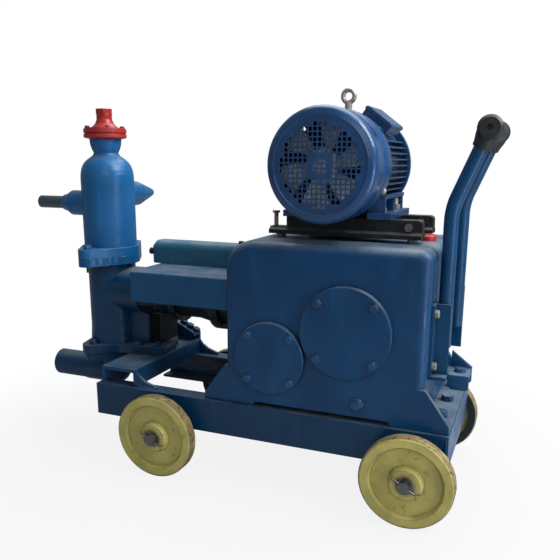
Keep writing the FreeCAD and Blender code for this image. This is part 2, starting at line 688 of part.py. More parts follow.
nodes["pump_studs_and_nuts"] = Part.makeCompound(fasteners)

# Plunger cylinder from the branch to the gearbox, with its gland and crosshead flanges
guard_x1 = BOX_X0 - GUARD_GAP
guard_z0 = BRANCH_Z - GUARD_DROP
guard_z1 = BRANCH_Z + GUARD_RISE
bore_len = BOX_X0 - GUARD_X0
packing_len = (bore_len - CROSSHEAD_LEN - CROSSHEAD_FLANGE_T - GLAND_T) / 2
cylinder = stepped([
    (BRANCH_R - GUARD_T, BRANCH_R - GUARD_T, packing_len / 3),
    (LINER_R, LINER_R, 2 * packing_len / 3),
    (GLAND_R, GLAND_R, GLAND_T),
    (PACKING_R, PACKING_R, packing_len / 2),
    (PACKING_R, CROSSHEAD_R, packing_len / 2),
    (CROSSHEAD_FLANGE_R, CROSSHEAD_FLANGE_R, CROSSHEAD_FLANGE_T),
    (CROSSHEAD_R, CROSSHEAD_R, CROSSHEAD_LEN)], V(GUARD_X0, 0, BRANCH_Z), X_AXIS)
inside_y = GUARD_HALF_Y - GUARD_T - GUARD_CLEAR
inside_z = guard_z1 - GUARD_T - GUARD_CLEAR
reach_out = 2 * CROSSHEAD_FLANGE_R
sheet_room = block(GUARD_X0 - CUT, guard_x1 + CUT, -reach_out, reach_out,
                   guard_z0 - GUARD_CLEAR, BRANCH_Z + reach_out)
sheet_room = sheet_room.cut(block(
    GUARD_X0 - 2 * CUT, guard_x1 + 2 * CUT, -inside_y, inside_y,
    guard_z0 - GUARD_CLEAR - CUT, inside_z))
nodes["plunger_cylinder"] = cylinder.cut(sheet_room)

# Guard: folded sheet over the cylinder, open underneath and towards the gearbox
guard = block(GUARD_X0, guard_x1, -GUARD_HALF_Y, GUARD_HALF_Y, guard_z0, guard_z1)
folds = [e for e in edges_at(guard, low=(None, None, guard_z1)) if e.BoundBox.XLength > GUARD_BEND_R]
guard = guard.makeFillet(GUARD_BEND_R, folds)
guard = guard.cut(block(
    GUARD_X0 + GUARD_T, guard_x1 + CUT, GUARD_T - GUARD_HALF_Y, GUARD_HALF_Y - GUARD_T,
    guard_z0 - CUT, guard_z1 - GUARD_T))
guard = guard.cut(rod(GUARD_X0 - CUT, 0, BRANCH_Z, X_AXIS, BRANCH_R, GUARD_T + 2 * CUT))
tank_y0 = GUARD_HALF_Y - TANK_IN
tank_y1 = tank_y0 + TANK_W
shelf = block(GUARD_X0, guard_x1, tank_y0 - GUARD_BEND_R, tank_y1, guard_z1 - GUARD_T, guard_z1)
nodes["plunger_guard"] = fuse([guard, shelf])

# Rinse tank: round-topped can on the guard's shelf, end corner chamfered
tank_x0 = GUARD_X0 - TANK_OVER
tank_top = guard_z1 + TANK_H
tank_y = tank_y0 + TANK_W / 2
tank = block(tank_x0, guard_x1, tank_y0, tank_y1, guard_z1, tank_top)
long_edges = [e for e in edges_at(tank, low=(None, None, tank_top)) if e.BoundBox.XLength > TANK_ROUND]
tank = tank.makeFillet(TANK_ROUND, long_edges)
tank = tank.makeChamfer(TANK_CHAMFER, edges_at(tank, low=(None, None, tank_top), high=(tank_x0, None, None)))
nodes["rinse_tank"] = tank
nodes["tank_plugs"] = Part.makeCompound([
    rod(tank_x0 - PLUG_LEN, tank_y - PLUG_R, tank_top - TANK_CHAMFER - 2 * PLUG_R, X_AXIS, PLUG_R, PLUG_LEN),
    hexagon(V(guard_x1 - VENT_IN, tank_y, tank_top), Z_AXIS, VENT_AF, VENT_H),
])

# Gearbox casting: rounded box on flared feet with gabled corners
housing = block(BOX_X0, BOX_X1, -BOX_HALF_Y, BOX_HALF_Y, RAIL_TOP, BOX_TOP)
housing = housing.makeFillet(SHOULDER_R, edges_at(
    housing, low=(None, None, BOX_TOP), high=(BOX_X0, None, None)))
housing = housing.makeFillet(END_R, edges_at(housing, low=(BOX_X1, None, BOX_TOP)))
rims = edges_at(housing, high=(None, -BOX_HALF_Y, None)) + edges_at(housing, low=(None, BOX_HALF_Y, None))
rims = [e for e in rims if e.BoundBox.ZMax > RAIL_TOP + CUT]
housing = housing.makeFillet(RIM_R, rims)
foot_x0 = BOX_X0 - FOOT_OUT
foot_x1 = BOX_X1 + FOOT_OUT
foot_top = RAIL_TOP + FOOT_T
gable = [(foot_x0, RAIL_TOP), (foot_x0, foot_top), (BOX_X0, RAIL_TOP + GABLE_H),
         (BOX_X1, RAIL_TOP + GABLE_H), (foot_x1, foot_top), (foot_x1, RAIL_TOP)]
housing = fuse([
    housing,
    block(foot_x0, foot_x1, -BOX_HALF_Y, BOX_HALF_Y, RAIL_TOP, foot_top),
    profile_y(gable, -BOX_HALF_Y, GABLE_T - BOX_HALF_Y),
    profile_y(gable, BOX_HALF_Y - GABLE_T, BOX_HALF_Y),
])
housing = housing.cut(block(
    foot_x0 + FOOT_PAD, foot_x1 - FOOT_PAD, -BOX_HALF_Y - CUT, BOX_HALF_Y + CUT,
    RAIL_TOP - CUT, RAIL_TOP + FOOT_RELIEF))
nodes["gearbox_housing"] = housing

near_way = V(0, -1, 0)
cover_bolts = []
covers = (
    ("small_bearing_cover", SMALL_COVER_X, SMALL_COVER_Z, SMALL_COVER_R),
    ("large_bearing_cover", LARGE_COVER_X, LARGE_COVER_Z, LARGE_COVER_R),
)
for name, x, z, r in covers:
    nodes[name] = stepped([(r, r, COVER_T - COVER_EDGE), (r, r - COVER_EDGE, COVER_EDGE)],
                          V(x, -BOX_HALF_Y, z), near_way)
    for i in range(4):
        turn = math.radians(45 + 90 * i)
        at = V(x + 0.86 * r * math.cos(turn), -BOX_HALF_Y - COVER_T, z + 0.86 * r * math.sin(turn))
        cover_bolts.append(hexagon(at, near_way, COVER_BOLT_AF, COVER_BOLT_H))
nodes["bearing_cover_bolts"] = Part.makeCompound(cover_bolts)
drain_at = V(DRAIN_X, -BOX_HALF_Y, DRAIN_Z)
nodes["drain_plug"] = fuse([
    stepped([(0.6 * DRAIN_AF, 0.6 * DRAIN_AF, 0.2 * DRAIN_AF)], drain_at, near_way),
    hexagon(drain_at, near_way, DRAIN_AF, 0.4 * DRAIN_AF),
])
nodes["oil_filler_cap"] = stepped([
    (FILLER_R, FILLER_R, 0.7 * FILLER_H), (FILLER_R, 0.8 * FILLER_R, 0.3 * FILLER_H)],
    V(BOX_X1 - FILLER_IN, FILLER_Y, BOX_TOP), Z_AXIS)
foot_bolts = []
for x in (foot_x0 + FOOT_OUT / 2, foot_x1 - FOOT_OUT / 2):
    for y in (-0.62 * BOX_HALF_Y, 0.0, 0.62 * BOX_HALF_Y):
        foot_bolts.append(hexagon(V(x, y, foot_top), Z_AXIS, FOOT_BOLT_AF, FOOT_BOLT_H))
nodes["gearbox_foot_bolts"] = Part.makeCompound(foot_bolts)

# Slide rails: black cast bars with a long slot, on short spacers
slide_bars = []
slide_bolts = []
for y in (NEAR_FOOT_Y, FAR_FOOT_Y):
    half_hat = [(SLIDE_HALF_Y, 0), (SLIDE_HALF_Y, 0.8 * SLIDE_BASE_T),
                (SLIDE_TOP_HALF_Y, 1.3 * SLIDE_BASE_T), (SLIDE_TOP_HALF_Y, SLIDE_H)]
    hat = [(y + a, SLIDE_Z0 + b) for a, b in half_hat]
    hat += [(y - a, SLIDE_Z0 + b) for a, b in reversed(half_hat)]
    bar = profile_x(hat, SLIDE_X0, SLIDE_X1)
    nose = [e for e in edges_at(bar, low=(SLIDE_X1, None, MOTOR_FOOT_Z)) if e.BoundBox.YLength > SLIDE_TOP_HALF_Y]
    bar = bar.makeFillet(SLIDE_NOSE_R, nose)
    bar = bar.cut(block(SLIDE_X0 - CUT, SLIDE_X0 + SLIDE_LUG, y - SLIDE_HALF_Y, y + SLIDE_HALF_Y,
                        SLIDE_Z0 + SLIDE_LUG_H, MOTOR_FOOT_Z + CUT))
    slot_x0 = SLIDE_X0 + SLIDE_LUG + SLIDE_END
    slide_bars.append(bar.cut(block(
        slot_x0, SLIDE_X1 - 2 * SLIDE_END, y - SLIDE_SLOT / 2, y + SLIDE_SLOT / 2,
        SLIDE_Z0 + SLIDE_BASE_T, MOTOR_FOOT_Z + CUT)))
    for x in (SLIDE_X0 + SLIDE_END, SLIDE_X1 - SLIDE_END):
        slide_bolts.append(hexagon(V(x, y, BOX_TOP), Z_AXIS, NUT_AF, SLIDE_SPACER))
    tension_z = MOTOR_FOOT_Z + TENSION_H
    slide_bolts.append(stud(V(SLIDE_X0 + TENSION_IN, y, tension_z), Z_AXIS, TENSION_AF,
                            TENSION_R, TENSION_R, tension_z - SLIDE_Z0 - SLIDE_LUG_H))
    slide_bolts.append(hexagon(
        V(SLIDE_X1 - SLIDE_BOLT_IN, y - SLIDE_TOP_HALF_Y, SLIDE_Z0 + SLIDE_H / 2 + TENSION_R), near_way,
        TENSION_AF, TENSION_R))
nodes["slide_rails"] = Part.makeCompound(slide_bars)
nodes["slide_rail_bolts"] = Part.makeCompound(slide_bolts)

# Motor frame: finned barrel, end shield and cast feet
fin_y0 = COWL_Y1 + COWL_T
motor_parts = [rod(MOTOR_X, COWL_Y1 - COWL_LAP, MOTOR_Z, Y_AXIS, STATOR_R, FRAME_LEN + COWL_LAP)]
for i in range(-4, 5):
    offset = i * FIN_PITCH
    tip = math.sqrt(FIN_R ** 2 - offset ** 2)
    root = math.sqrt(STATOR_R ** 2 - offset ** 2) - FIN_T
    for side in (-1, 1):
        x0 = MOTOR_X + min(side * tip, side * root)
        z = MOTOR_Z + offset
        motor_parts.append(block(x0, x0 + tip - root, fin_y0, FRAME_Y1, z - FIN_T / 2, z + FIN_T / 2))
    if abs(i) < 4:
        x = MOTOR_X + offset
        motor_parts.append(block(x - FIN_T / 2, x + FIN_T / 2, fin_y0, FRAME_Y1,
                                 MOTOR_Z + root, MOTOR_Z + tip))
motor_parts.append(stepped([
    (SHIELD_R, SHIELD_R, 0.4 * SHIELD_T),
    (SHIELD_R, 0.88 * SHIELD_R, 0.25 * SHIELD_T),
    (0.8 * SHIELD_R, SHIELD_NOSE_R, 0.2 * SHIELD_T),
    (SHIELD_NOSE_R, SHIELD_NOSE_R, 0.15 * SHIELD_T)], V(MOTOR_X, FRAME_Y1, MOTOR_Z), Y_AXIS))
mfoot_y0 = NEAR_FOOT_Y - MFOOT_OVER_Y
mfoot_y1 = FAR_FOOT_Y + MFOOT_OVER_Y
shelf_z = MOTOR_Z - MFOOT_SHELF_Z
shelf_root = 0.7 * STATOR_R
for side in (-1, 1):
    inner, outer = sorted((MOTOR_X + side * MFOOT_INNER_X, MOTOR_X + side * MFOOT_HALF_X))
    motor_parts.append(block(inner, outer, mfoot_y0, mfoot_y1, MOTOR_FOOT_Z, MOTOR_FOOT_Z + MFOOT_T))
    inner, outer = sorted((MOTOR_X + side * shelf_root, MOTOR_X + side * MFOOT_SHELF_X))
    motor_parts.append(block(inner, outer, fin_y0, FRAME_Y1, shelf_z - MFOOT_WEB_T, shelf_z))
    web = [(MOTOR_X + side * a, z) for a, z in (
        (MFOOT_INNER_X, MOTOR_FOOT_Z + MFOOT_T / 2), (0.87 * MFOOT_HALF_X, MOTOR_FOOT_Z + MFOOT_T / 2),
        (MFOOT_SHELF_X, shelf_z - MFOOT_WEB_T / 2), (shelf_root, shelf_z - MFOOT_WEB_T / 2))]
    for y in (fin_y0, (NEAR_FOOT_Y + FAR_FOOT_Y) / 2, mfoot_y1 - MFOOT_WEB_T):
        motor_parts.append(profile_y(web, y, y + MFOOT_WEB_T))
motor = fuse(motor_parts)
bore = rod(MOTOR_X, COWL_Y0, MOTOR_Z, Y_AXIS, SHAFT_R + RUN_GAP, COWL_LEN + FRAME_LEN + SHIELD_T + CUT)
nodes["motor_frame"] = motor.cut(bore)

# Fan cowl: pressed cup on the frame with a square-hole grille, plain ring round the hub
cowl = turned([
    (0, 0), (COWL_R - COWL_ROUND, 0), (COWL_R - COWL_ROUND / 3, COWL_ROUND / 3), (COWL_R, COWL_ROUND),
    (COWL_R, COWL_LEN), (STATOR_R, COWL_LEN), (STATOR_R, COWL_LEN - COWL_LAP),
    (COWL_R - COWL_T, COWL_LEN - COWL_LAP), (COWL_R - COWL_T, COWL_ROUND),
    (COWL_R - COWL_ROUND, COWL_T), (0, COWL_T)], V(MOTOR_X, COWL_Y0, MOTOR_Z), Y_AXIS)
grille = []
rows = int(GRILLE_R / GRILLE_PITCH)
for i in range(-rows, rows + 1):
    for j in range(-rows, rows + 1):
        steps_out = math.hypot(i, j)
        if steps_out * GRILLE_PITCH > GRILLE_R or 1.9 < steps_out < 2.9:
            continue
        x = MOTOR_X + i * GRILLE_PITCH
        z = MOTOR_Z + j * GRILLE_PITCH
        half = GRILLE_HOLE / 2
        grille.append(block(x - half, x + half, COWL_Y0 - CUT, COWL_Y0 + COWL_T + CUT, z - half, z + half))
nodes["fan_cowl"] = cowl.cut(grille)

# Rotor: shaft with the cooling fan behind the grille
fan_y0 = COWL_Y0 + FAN_GAP
shaft_len = PULLEY_Y0 + PULLEY_W + SHAFT_SPARE - fan_y0
rotor_parts = [
    rod(MOTOR_X, fan_y0, MOTOR_Z, Y_AXIS, SHAFT_R, shaft_len),
    rod(MOTOR_X, fan_y0, MOTOR_Z, Y_AXIS, FAN_HUB_R, FAN_W),
]
for i in range(BLADES):
    blade = block(FAN_HUB_R / 2, FAN_R, -FAN_W, 0, -BLADE_T / 2, BLADE_T / 2)
    blade.rotate(V(0, 0, 0), Y_AXIS, 360.0 * i / BLADES)
    blade.translate(V(MOTOR_X, fan_y0 + FAN_W, MOTOR_Z))
    rotor_parts.append(blade)
nodes["motor_rotor"] = fuse(rotor_parts)


def pulley(radius, bore_r, x, z):
    """Two-groove V pulley."""
    points = [(bore_r, 0), (radius, 0)]
    for middle in (0.3 * PULLEY_W, 0.7 * PULLEY_W):
        points += [(radius, middle - GROOVE_W / 2), (radius - GROOVE_D, middle - GROOVE_W / 4),
                   (radius - GROOVE_D, middle + GROOVE_W / 4), (radius, middle + GROOVE_W / 2)]
    points += [(radius, PULLEY_W), (bore_r, PULLEY_W)]
    return turned(points, V(x, PULLEY_Y0, z), Y_AXIS)


nodes["motor_pulley"] = pulley(MOTOR_PULLEY_R, SHAFT_R, MOTOR_X, MOTOR_Z)
nodes["gearbox_pulley"] = pulley(BOX_PULLEY_R, BOX_SHAFT_R, SMALL_COVER_X, SMALL_COVER_Z)
nodes["gearbox_input_shaft"] = rod(
    SMALL_COVER_X, BOX_HALF_Y, SMALL_COVER_Z, Y_AXIS, BOX_SHAFT_R, PULLEY_GAP + PULLEY_W + SHAFT_SPARE)


def belt_loop(grow, y0, y1):
    """Racetrack round both pulleys, grown by a margin."""
    return racetrack((MOTOR_X, MOTOR_Z, MOTOR_PULLEY_R + grow + BODY_GAP),
                     (SMALL_COVER_X, SMALL_COVER_Z, BOX_PULLEY_R + grow), y0, y1)


belt_y0 = PULLEY_Y0 + BELT_EDGE
belt_y1 = PULLEY_Y0 + PULLEY_W - BELT_EDGE
nodes["drive_belt"] = belt_loop(BELT_T, belt_y0, belt_y1).cut(belt_loop(0.0, belt_y0 - CUT, belt_y1 + CUT))

cover_y0 = PULLEY_Y0 - COVER_SIDE_GAP
cover_y1 = PULLEY_Y0 + PULLEY_W + COVER_FRONT_GAP
belt_cover = belt_loop(COVER_MARGIN, cover_y0, cover_y1)
belt_cover = belt_cover.cut(belt_loop(
    COVER_MARGIN - COVER_SHEET, cover_y0 + COVER_SHEET, cover_y1 - COVER_SHEET))
for x, z in ((MOTOR_X, MOTOR_Z), (SMALL_COVER_X, SMALL_COVER_Z)):
    belt_cover = belt_cover.cut(rod(x, cover_y0 - CUT, z, Y_AXIS, COVER_HOLE_R, COVER_SHEET + 2 * CUT))
standoffs = []
standoff_reach = (COVER_HOLE_R + BOX_PULLEY_R) / 2
for side_x in (-1, 1):
    for side_z in (-1, 1):
        x = SMALL_COVER_X + side_x * standoff_reach / math.sqrt(2.0)
        z = SMALL_COVER_Z + side_z * standoff_reach / math.sqrt(2.0)
        standoffs.append(rod(x, BOX_HALF_Y, z, Y_AXIS, STANDOFF_R, cover_y0 - BOX_HALF_Y))
nodes["belt_guard"] = fuse([belt_cover] + standoffs)

# Terminal box on the motor's shoulder
seat_r = FIN_R + FIN_T / 2
box_z1 = SHIELD_R + TERMINAL_H
body = block(-TERMINAL_HALF_X, TERMINAL_HALF_X, TERMINAL_Y0, TERMINAL_Y0 + TERMINAL_LEN, STATOR_R, box_z1)
lid_x = TERMINAL_HALF_X + TERMINAL_LIP
lid = block(-lid_x, lid_x, TERMINAL_Y0 - TERMINAL_LIP, TERMINAL_Y0 + TERMINAL_LEN + TERMINAL_LIP,
            box_z1, box_z1 + TERMINAL_LID_T)
lid_edges = [e for e in edges_at(lid, low=(None, None, box_z1 + TERMINAL_LID_T))
             if e.BoundBox.YLength > TERMINAL_LID_T]
lid = lid.makeFillet(0.75 * TERMINAL_LID_T, lid_edges)
seat = rod(0, TERMINAL_Y0 - 2 * TERMINAL_LIP, 0, Y_AXIS, seat_r, TERMINAL_LEN + 4 * TERMINAL_LIP)
terminal = fuse([body, lid]).cut(seat)
terminal.Placement = FreeCAD.Placement(
    V(MOTOR_X, 0, MOTOR_Z), FreeCAD.Rotation(Y_AXIS, TERMINAL_TILT))
nodes["terminal_box"] = terminal

# Motor fixings: eye bolt on top, foot studs with nuts
fin_top = MOTOR_Z + FIN_R
eye_z = fin_top + EYE_RISE
eye_bolt = fuse([
    Part.makeTorus(EYE_R, EYE_BAR_R, V(MOTOR_X, 0, eye_z), Y_AXIS),
    rod(MOTOR_X, 0, fin_top, Z_AXIS, EYE_SHANK_R, EYE_RISE - EYE_R),
    rod(MOTOR_X, 0, fin_top, Z_AXIS, EYE_COLLAR_R, EYE_COLLAR_H),
])
nodes["lifting_eye"] = eye_bolt
motor_studs = []
for y in (NEAR_FOOT_Y, FAR_FOOT_Y):
    for side in (-1, 1):
        motor_studs.append(stud(
            V(MOTOR_X + side * FOOT_HOLE_X, y, MOTOR_FOOT_Z + MFOOT_T), Z_AXIS,
            MBOLT_AF, MBOLT_NUT_H, MBOLT_R, MFOOT_T, MBOLT_SPARE))
nodes["motor_foot_bolts"] = Part.makeCompound(motor_studs)
for piece in motor_studs:
    nodes["motor_frame"] = nodes["motor_frame"].cut(piece)

# Handle: yoke on the gearbox end, two bent tubes, cross grip
yoke_z1 = YOKE_Z0 + YOKE_H
ear_y = YOKE_HALF_Y + YOKE_EAR
yoke = [block(BOX_X1, BOX_X1 + YOKE_T, -ear_y, ear_y, YOKE_Z0, yoke_z1)]
bracket_bolts = []
for side in (-1, 1):
    y0 = min(side * YOKE_HALF_Y, side * (YOKE_HALF_Y - YOKE_T))
    yoke.append(block(BOX_X1, YOKE_X1, y0, y0 + YOKE_T, YOKE_Z0, yoke_z1))
    for z in (YOKE_Z0 + YOKE_NUT_IN, yoke_z1 - YOKE_NUT_IN):
        at = V(BOX_X1 + YOKE_T, side * (YOKE_HALF_Y + YOKE_EAR / 2), z)
        bracket_bolts.append(hexagon(at, X_AXIS, YOKE_NUT_AF, YOKE_NUT_H))
nodes["handle_yoke"] = fuse(yoke)

tube_x = BOX_X1 + YOKE_T + TUBE_GAP + TUBE_R
lean = math.atan2(GRIP_X - tube_x, GRIP_Z - BEND_Z)
setback = BEND_R * math.tan(lean / 2)
waist_r = GRIP_R - GRIP_WAIST
grip = turned([
    (0, GRIP_HOLE_DEPTH), (GRIP_HOLE_R, GRIP_HOLE_DEPTH), (GRIP_HOLE_R, 0), (GRIP_R - GRIP_CHAMFER, 0),
    (GRIP_R, GRIP_CHAMFER), (GRIP_R, GRIP_END), (waist_r, GRIP_END),
    (waist_r, 2 * GRIP_HALF_Y - GRIP_END), (GRIP_R, 2 * GRIP_HALF_Y - GRIP_END),
    (GRIP_R, 2 * GRIP_HALF_Y - GRIP_CHAMFER), (GRIP_R - GRIP_CHAMFER, 2 * GRIP_HALF_Y),
    (GRIP_HOLE_R, 2 * GRIP_HALF_Y), (GRIP_HOLE_R, 2 * GRIP_HALF_Y - GRIP_HOLE_DEPTH),
    (0, 2 * GRIP_HALF_Y - GRIP_HOLE_DEPTH)], V(GRIP_X, -GRIP_HALF_Y, GRIP_Z), Y_AXIS)
nodes["handle_grip"] = grip
arms = []
for side in (-1, 1):
    y = side * (YOKE_HALF_Y - YOKE_T - TUBE_R)
    start = V(tube_x, y, YOKE_Z0 + TUBE_RISE)
    bend_a = V(tube_x, y, BEND_Z - setback)
    bend_b = V(tube_x + setback * math.sin(lean), y, BEND_Z + setback * math.cos(lean))
    bend_m = V(tube_x + BEND_R * (1 - math.cos(lean / 2)), y,
               BEND_Z - setback + BEND_R * math.sin(lean / 2))
    path = Part.Wire([
        Part.makeLine(start, bend_a), Part.Arc(bend_a, bend_m, bend_b).toShape(),
        Part.makeLine(bend_b, V(GRIP_X, y, GRIP_Z))])
    skin = path.makePipeShell([Part.Wire(Part.makeCircle(TUBE_R, start, Z_AXIS))], True, True)
    core = path.makePipeShell([Part.Wire(Part.makeCircle(TUBE_R - TUBE_WALL, start, Z_AXIS))], True, True)
    arms.append(skin.cut(core).cut(grip))
nodes["handle_tubes"] = Part.makeCompound(arms)

# Tow bracket: shelf with a skirt and a gusset, on two legs to the gearbox foot
shelf_z0 = YOKE_Z0 - SHELF_T
shelf_x1 = BOX_X1 + SHELF_REACH
bracket = [
    block(BOX_X1, YOKE_X1, -ear_y, ear_y, shelf_z0, YOKE_Z0),
    block(BOX_X1, shelf_x1, -SHELF_HALF_Y, SHELF_HALF_Y, shelf_z0, YOKE_Z0),
    block(YOKE_X1, shelf_x1, -SHELF_HALF_Y, SHELF_T - SHELF_HALF_Y, shelf_z0 - SHELF_SKIRT, shelf_z0),
    profile_y([(YOKE_X1, YOKE_Z0), (shelf_x1, YOKE_Z0), (YOKE_X1, YOKE_Z0 + SHELF_GUSSET_H)],
              -SHELF_HALF_Y, SHELF_T - SHELF_HALF_Y),
]
for side in (-1, 1):
    y0 = min(side * ear_y, side * (ear_y - SHELF_T))
    bracket.append(block(BOX_X1, YOKE_X1 - YOKE_T, y0, y0 + SHELF_T, foot_top, shelf_z0))
tow_x = shelf_x1 - TOW_BOLT_IN
tow_bolt = stud(V(tow_x, 0, YOKE_Z0), Z_AXIS, TOW_BOLT_AF, TOW_BOLT_H, TOW_BOLT_R, SHELF_T + TOW_BOLT_SPARE)
nodes["tow_bracket"] = fuse(bracket).cut(tow_bolt)
nodes["bracket_bolts"] = Part.makeCompound(bracket_bolts + [tow_bolt])

for name, shape in nodes.items():
    shape.translate(V(-MID_LENGTH_X, 0, 0))
    shape.exportStep("parts/" + name + ".step")
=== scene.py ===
import json
import math
import random

import bmesh
import bpy
from mathutils import Matrix, Vector
from mathutils.geometry import delaunay_2d_cdt


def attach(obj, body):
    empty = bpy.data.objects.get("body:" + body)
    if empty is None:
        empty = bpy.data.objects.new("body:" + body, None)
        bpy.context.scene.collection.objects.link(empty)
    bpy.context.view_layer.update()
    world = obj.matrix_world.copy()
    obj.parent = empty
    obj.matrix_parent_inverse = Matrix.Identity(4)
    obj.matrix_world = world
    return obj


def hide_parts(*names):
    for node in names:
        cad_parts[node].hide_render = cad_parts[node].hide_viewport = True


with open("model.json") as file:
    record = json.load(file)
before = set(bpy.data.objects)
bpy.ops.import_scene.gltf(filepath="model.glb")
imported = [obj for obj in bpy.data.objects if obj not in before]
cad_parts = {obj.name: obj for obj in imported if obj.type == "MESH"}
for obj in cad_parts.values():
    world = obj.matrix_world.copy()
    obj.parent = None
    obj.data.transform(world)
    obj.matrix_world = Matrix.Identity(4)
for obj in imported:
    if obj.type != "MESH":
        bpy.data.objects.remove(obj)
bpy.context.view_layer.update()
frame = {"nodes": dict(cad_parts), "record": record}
nodes = frame["nodes"]
scene = bpy.context.scene
rng = random.Random(11)

# Metres: the motor's fan and the bearing covers face -Y, the handle is at the +X end
MOTOR = Vector((0.2675, 0.0, 0.733))
WHEEL_X = (-0.1245, 0.4755)
WHEEL_R = 0.1
RAIL_TOP = 0.195
X_AXIS = Vector((1, 0, 0))
Y_AXIS = Vector((0, 1, 0))
Z_AXIS = Vector((0, 0, 1))


# Node helpers

# A Mix node's colour sockets share their names with the other kinds, so they go by number
MIX_A, MIX_B, MIX_RESULT = 6, 7, 2


def new_material(name):
    material = bpy.data.materials.new(name)
    material.use_nodes = True
    tree = material.node_tree
    tree.nodes.clear()
    output = tree.nodes.new("ShaderNodeOutputMaterial")
    shader = tree.nodes.new("ShaderNodeBsdfPrincipled")
    tree.links.new(shader.outputs["BSDF"], output.inputs["Surface"])
    return material, tree, shader


def place(tree, stretch=(1, 1, 1)):
    """The surface point in metres, stretched along each axis."""
    coords = tree.nodes.new("ShaderNodeTexCoord")
    if stretch == (1, 1, 1):
        return coords.outputs["Object"]
    mapping = tree.nodes.new("ShaderNodeMapping")
    mapping.inputs["Scale"].default_value = stretch
    tree.links.new(coords.outputs["Object"], mapping.inputs["Vector"])
    return mapping.outputs["Vector"]


def position(tree, axis):
    """One coordinate of the surface point."""
    split = tree.nodes.new("ShaderNodeSeparateXYZ")
    tree.links.new(place(tree), split.inputs["Vector"])
    return split.outputs[axis]


def span(tree, value, low, high, to_low=0.0, to_high=1.0):
    """Smooth step of a value between two levels."""
    node = tree.nodes.new("ShaderNodeMapRange")
    node.interpolation_type = "SMOOTHSTEP"
    node.inputs["From Min"].default_value = low
    node.inputs["From Max"].default_value = high
    node.inputs["To Min"].default_value = to_low
    node.inputs["To Max"].default_value = to_high
    tree.links.new(value, node.inputs["Value"])
    return node.outputs["Result"]


def noise(tree, scale, low, high, stretch=(1, 1, 1), detail=4.0):
    """Noise of so many cells to the metre, with its contrast set by two levels."""
    texture = tree.nodes.new("ShaderNodeTexNoise")
    texture.inputs["Scale"].default_value = scale
    texture.inputs["Detail"].default_value = detail
    tree.links.new(place(tree, stretch), texture.inputs["Vector"])
    return span(tree, texture.outputs["Fac"], low, high)


def math_node(tree, operation, a, b=0.0):
    node = tree.nodes.new("ShaderNodeMath")
    node.operation = operation
    for socket, value in zip(node.inputs, (a, b)):
        if isinstance(value, (int, float)):
            socket.default_value = value
        else:
            tree.links.new(value, socket)
    return node.outputs["Value"]


def times(tree, a, b):
    return math_node(tree, "MULTIPLY", a, b)


def blend_colour(tree, factor, a, b):
    node = tree.nodes.new("ShaderNodeMix")
    node.data_type = "RGBA"
    tree.links.new(factor, node.inputs["Factor"])
    for socket, value in ((node.inputs[MIX_A], a), (node.inputs[MIX_B], b)):
        if isinstance(value, tuple):
            socket.default_value = (*value, 1.0)
        else:
            tree.links.new(value, socket)
    return node.outputs[MIX_RESULT]


def edge_mask(tree, radius):
    """Nearly 1 on outer and inner edges, 0 on the flats; also the rounded normal."""
    bevel = tree.nodes.new("ShaderNodeBevel")
    bevel.samples = 4
    bevel.inputs["Radius"].default_value = radius
    geometry = tree.nodes.new("ShaderNodeNewGeometry")
    dot = tree.nodes.new("ShaderNodeVectorMath")
    dot.operation = "DOT_PRODUCT"
    tree.links.new(bevel.outputs["Normal"], dot.inputs[0])
    tree.links.new(geometry.outputs["Normal"], dot.inputs[1])
    return span(tree, dot.outputs["Value"], 0.985, 0.85), bevel.outputs["Normal"]


def upward(tree, low=0.55, high=0.95):
    """1 on what faces up, 0 on walls and undersides."""
    geometry = tree.nodes.new("ShaderNodeNewGeometry")
    split = tree.nodes.new("ShaderNodeSeparateXYZ")
    tree.links.new(geometry.outputs["Normal"], split.inputs["Vector"])
    return span(tree, split.outputs["Z"], low, high)


def crevice(tree, distance):
    """1 in corners and gaps, 0 in the open."""
    occlusion = tree.nodes.new("ShaderNodeAmbientOcclusion")
    occlusion.samples = 6
    occlusion.inputs["Distance"].default_value = distance
    return span(tree, occlusion.outputs["AO"], 0.75, 0.25)


def inward(tree, clean, dark):
    """1 on what lies nearer the long centre plane than a distance, 0 outside it."""
    return span(tree, math_node(tree, "ABSOLUTE", position(tree, "Y")), clean, dark)


def from_axle(tree):
    """Distance from the nearer axle's centre line."""
    gaps = [math_node(tree, "ABSOLUTE", math_node(tree, "SUBTRACT", position(tree, "X"), x))
            for x in WHEEL_X]
    along = math_node(tree, "MINIMUM", *gaps)
    rise = math_node(tree, "SUBTRACT", position(tree, "Z"), WHEEL_R)
    squares = math_node(tree, "ADD", times(tree, along, along), times(tree, rise, rise))
    return math_node(tree, "SQRT", squares)


def add_bump(tree, shader, layers, normal):
    """Stack of (height, strength, distance) bumps on a normal."""
    for height, strength, distance in layers:
        bump = tree.nodes.new("ShaderNodeBump")
        bump.inputs["Strength"].default_value = strength
        bump.inputs["Distance"].default_value = distance
        tree.links.new(height, bump.inputs["Height"])
        tree.links.new(normal, bump.inputs["Normal"])
        normal = bump.outputs["Normal"]
    tree.links.new(normal, shader.inputs["Normal"])


# Finishes

# grime mixed with painted shade, for corners and gaps
GRIME_AND_SHADE = (0.012, 0.011, 0.010)
# painted shade for the dark zone past an x and a z
ZONE_SHADE = (0.0045, 0.0050, 0.0060)
SHADED = (0.006, 0.008, 0.010)
CHIPPED = (0.085, 0.055, 0.040)


